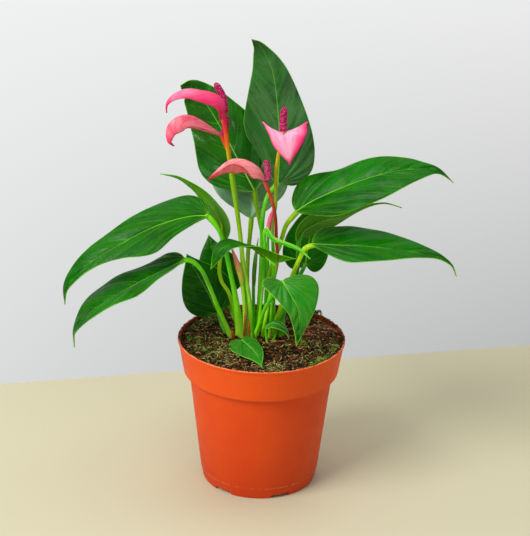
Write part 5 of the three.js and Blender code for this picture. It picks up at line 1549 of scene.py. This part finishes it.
def make_sheaths():
    """Flat pointed scales that stand between the stalks."""
    rings, sides = SHEATH_GRID
    turn = circle(sides)
    flat = 1 / np.hypot(np.cos(turn), np.sin(turn) / 0.3)
    at = np.linspace(0, 1, rings)[:, None]
    shapes = []
    for number, (foot, tip, width, (low, high)) in enumerate(SHEATHS):
        foot, tip = np.array(foot, float), np.array(tip, float)
        middle = (foot + tip) / 2 + (0.5 * (-1) ** number, -0.6, 0)
        curve, tangents, _ = even_curve([foot - (0, 0, 3), foot, middle, tip], rings)
        ragged = 1 + 0.1 * np.sin(at * 40 + number) * np.abs(np.cos(turn))
        radii = width * np.clip((1 - at) * 3, 0.06, 1) * flat * ragged
        tint = gradient(np.append(np.repeat(at.ravel(), sides), [0, 1]), [(0, low), (1, high)])
        shapes.append((*tube(curve, tangents, radii, sides, start=(1, 0, 0.1)), tint))
    add_loose("crown_sheaths", shapes, stalk_material("crown_sheath"))


def make_rim_dirt():
    """Crumbs and short fibres that lie on the pot's lip, and every third one just inside it."""
    rng = np.random.default_rng(51)
    shapes = []
    for number in range(RIM_CRUMBS):
        on_lip = number % 3 > 0
        turn = rng.uniform(0, 2 * np.pi)
        radius = RIM_RADIUS - (rng.uniform(0.4, 1.6) if on_lip else rng.uniform(1.4, 2.8))
        x, y = radius * math.cos(turn), radius * math.sin(turn)
        tone = srgb(*DIRT_COLOURS[rng.integers(3)])
        if rng.uniform() < 0.55:
            points, faces = lump(rng, rng.uniform(0.15, 0.5) * (1 if on_lip else 2), 0.6)
            points = points + (x, y, POT_HEIGHT + (0.1 if on_lip else -0.8))
        else:
            heading = turn + np.pi / 2 + rng.normal(0, 0.6)
            run = np.linspace(-1, 1, 5)[:, None] * rng.uniform(0.8, 2.2)
            curve = np.array([x, y, POT_HEIGHT + 0.12]) + run * (math.cos(heading), math.sin(heading), 0)
            curve[:, :2] *= np.minimum(1, (RIM_RADIUS - 0.2) / np.hypot(curve[:, 0], curve[:, 1]))[:, None]
            curve[:, 2] += 0.25 * np.sin(np.linspace(0, np.pi, 5))
            points, faces = tube(curve, unit(np.gradient(curve, axis=0)), np.full(5, 0.12), 4)
        shapes.append(painted((points, faces), tone))
    add_loose("rim_dirt", shapes, soil_material("rim_dirt", 0.8))


# Camera, floor and light

def link(thing, x, y, z, place):
    """Puts a camera or light into the scene with the given axes, at a place in metres."""
    matrix = np.eye(4)
    matrix[:3] = np.column_stack([x, y, z, place])
    thing.matrix_world = Matrix(matrix.tolist())
    bpy.context.scene.collection.objects.link(thing)


def make_camera():
    elevation, roll = math.radians(CAMERA_ELEVATION), math.radians(CAMERA_ROLL)
    back = np.array([0, -math.cos(elevation), math.sin(elevation)])
    right, up = np.array([1.0, 0, 0]), np.array([0, math.sin(elevation), math.cos(elevation)])
    x = right * math.cos(roll) - up * math.sin(roll)
    y = up * math.cos(roll) + right * math.sin(roll)
    data = bpy.data.cameras.new("camera")
    data.sensor_width = SENSOR
    data.lens = FOCAL_PIXELS * SENSOR / max(PICTURE_WIDTH, PICTURE_HEIGHT)
    data.clip_end = 50
    camera = bpy.data.objects.new("camera", data)
    link(camera, x, y, np.cross(x, y), (np.array(CAMERA_AIM) + CAMERA_DISTANCE * back) * MM)
    bpy.context.scene.camera = camera


def area_light(name, place, aim, width, height, power, colour):
    data = bpy.data.lights.new(name, "AREA")
    data.shape = "RECTANGLE"
    data.size, data.size_y = width, height
    data.energy = power
    data.color = colour
    z = -unit(np.array(aim, float) - np.array(place, float))
    x = unit(np.cross((0, 0, 1.0), z))
    link(bpy.data.objects.new(name, data), x, np.cross(z, x), z, place)


def studio_world():
    """Pale wall behind, darker towards the front. What the camera sees of it is a plain pale grey,
    with painted shade where it falls off down and to the right."""
    world = bpy.data.worlds.new("studio")
    world.use_nodes = True
    g = Graph(world.node_tree)
    x, y, z = g.split(g.node("TexCoord").outputs["Generated"])
    # Painted shade on the backdrop: darker down and to the right.
    side = g.line(x, -0.16, 0.16)
    low = g.mix(side, (217, 219, 219), (179, 180, 180))
    high = g.mix(side, (240, 242, 241), (234, 235, 234))
    seen = world.node_tree.nodes["Background"]
    g.put(seen.inputs["Color"], g.mix(g.line(z, -0.437, -0.216), low, high))
    seen.inputs["Strength"].default_value = 1
    shade = g.mix(g.range(y, -0.4, 0.8), (120, 122, 126), (232, 232, 230))
    around = g.node("Background", Color=shade, Strength=0.9)
    mix = g.node("MixShader")
    sources = (g.node("LightPath").outputs["Is Camera Ray"], around.outputs[0], seen.outputs[0])
    for socket, source in zip(mix.inputs, sources):
        g.put(socket, source)
    g.put(world.node_tree.nodes["World Output"].inputs["Surface"], mix.outputs[0])
    bpy.context.scene.world = world


def make_stage():
    view = bpy.context.scene.view_settings
    view.view_transform = "Standard"
    view.look = "None"
    a, b = (np.array(point, float) for point in TABLE_EDGE)
    left, right = a - (b - a) * TABLE_REACH, b + (b - a) * TABLE_REACH
    corners = np.array([(*left, 0), (left[0], TABLE_FRONT, 0), (right[0], TABLE_FRONT, 0), (*right, 0)])
    floor = build("floor", corners, np.array([(0, 1, 2, 3)]))
    material, g = new_material("floor")
    g.surface(g.mix(g.range(g.noise(1.5, 2), 0.3, 0.7), (201, 195, 163), (207, 202, 171)), 0.65)
    floor.data.materials.append(material)
    studio_world()
    for light in LIGHTS:
        area_light(*light)


def main():
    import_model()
    make_camera()
    make_stage()
    stalk, stem, bud = (stalk_material(name) for name in ("leaf_stalk", "bloom_stem", "bud"))
    make_leaf_blades()
    make_leaf_stalks(stalk)
    make_blooms(stem)
    make_buds(stem, bud)
    make_pot()
    make_soil()
    make_grains()
    make_fibres()
    make_moss()
    make_sheaths()
    make_rim_dirt()


main()
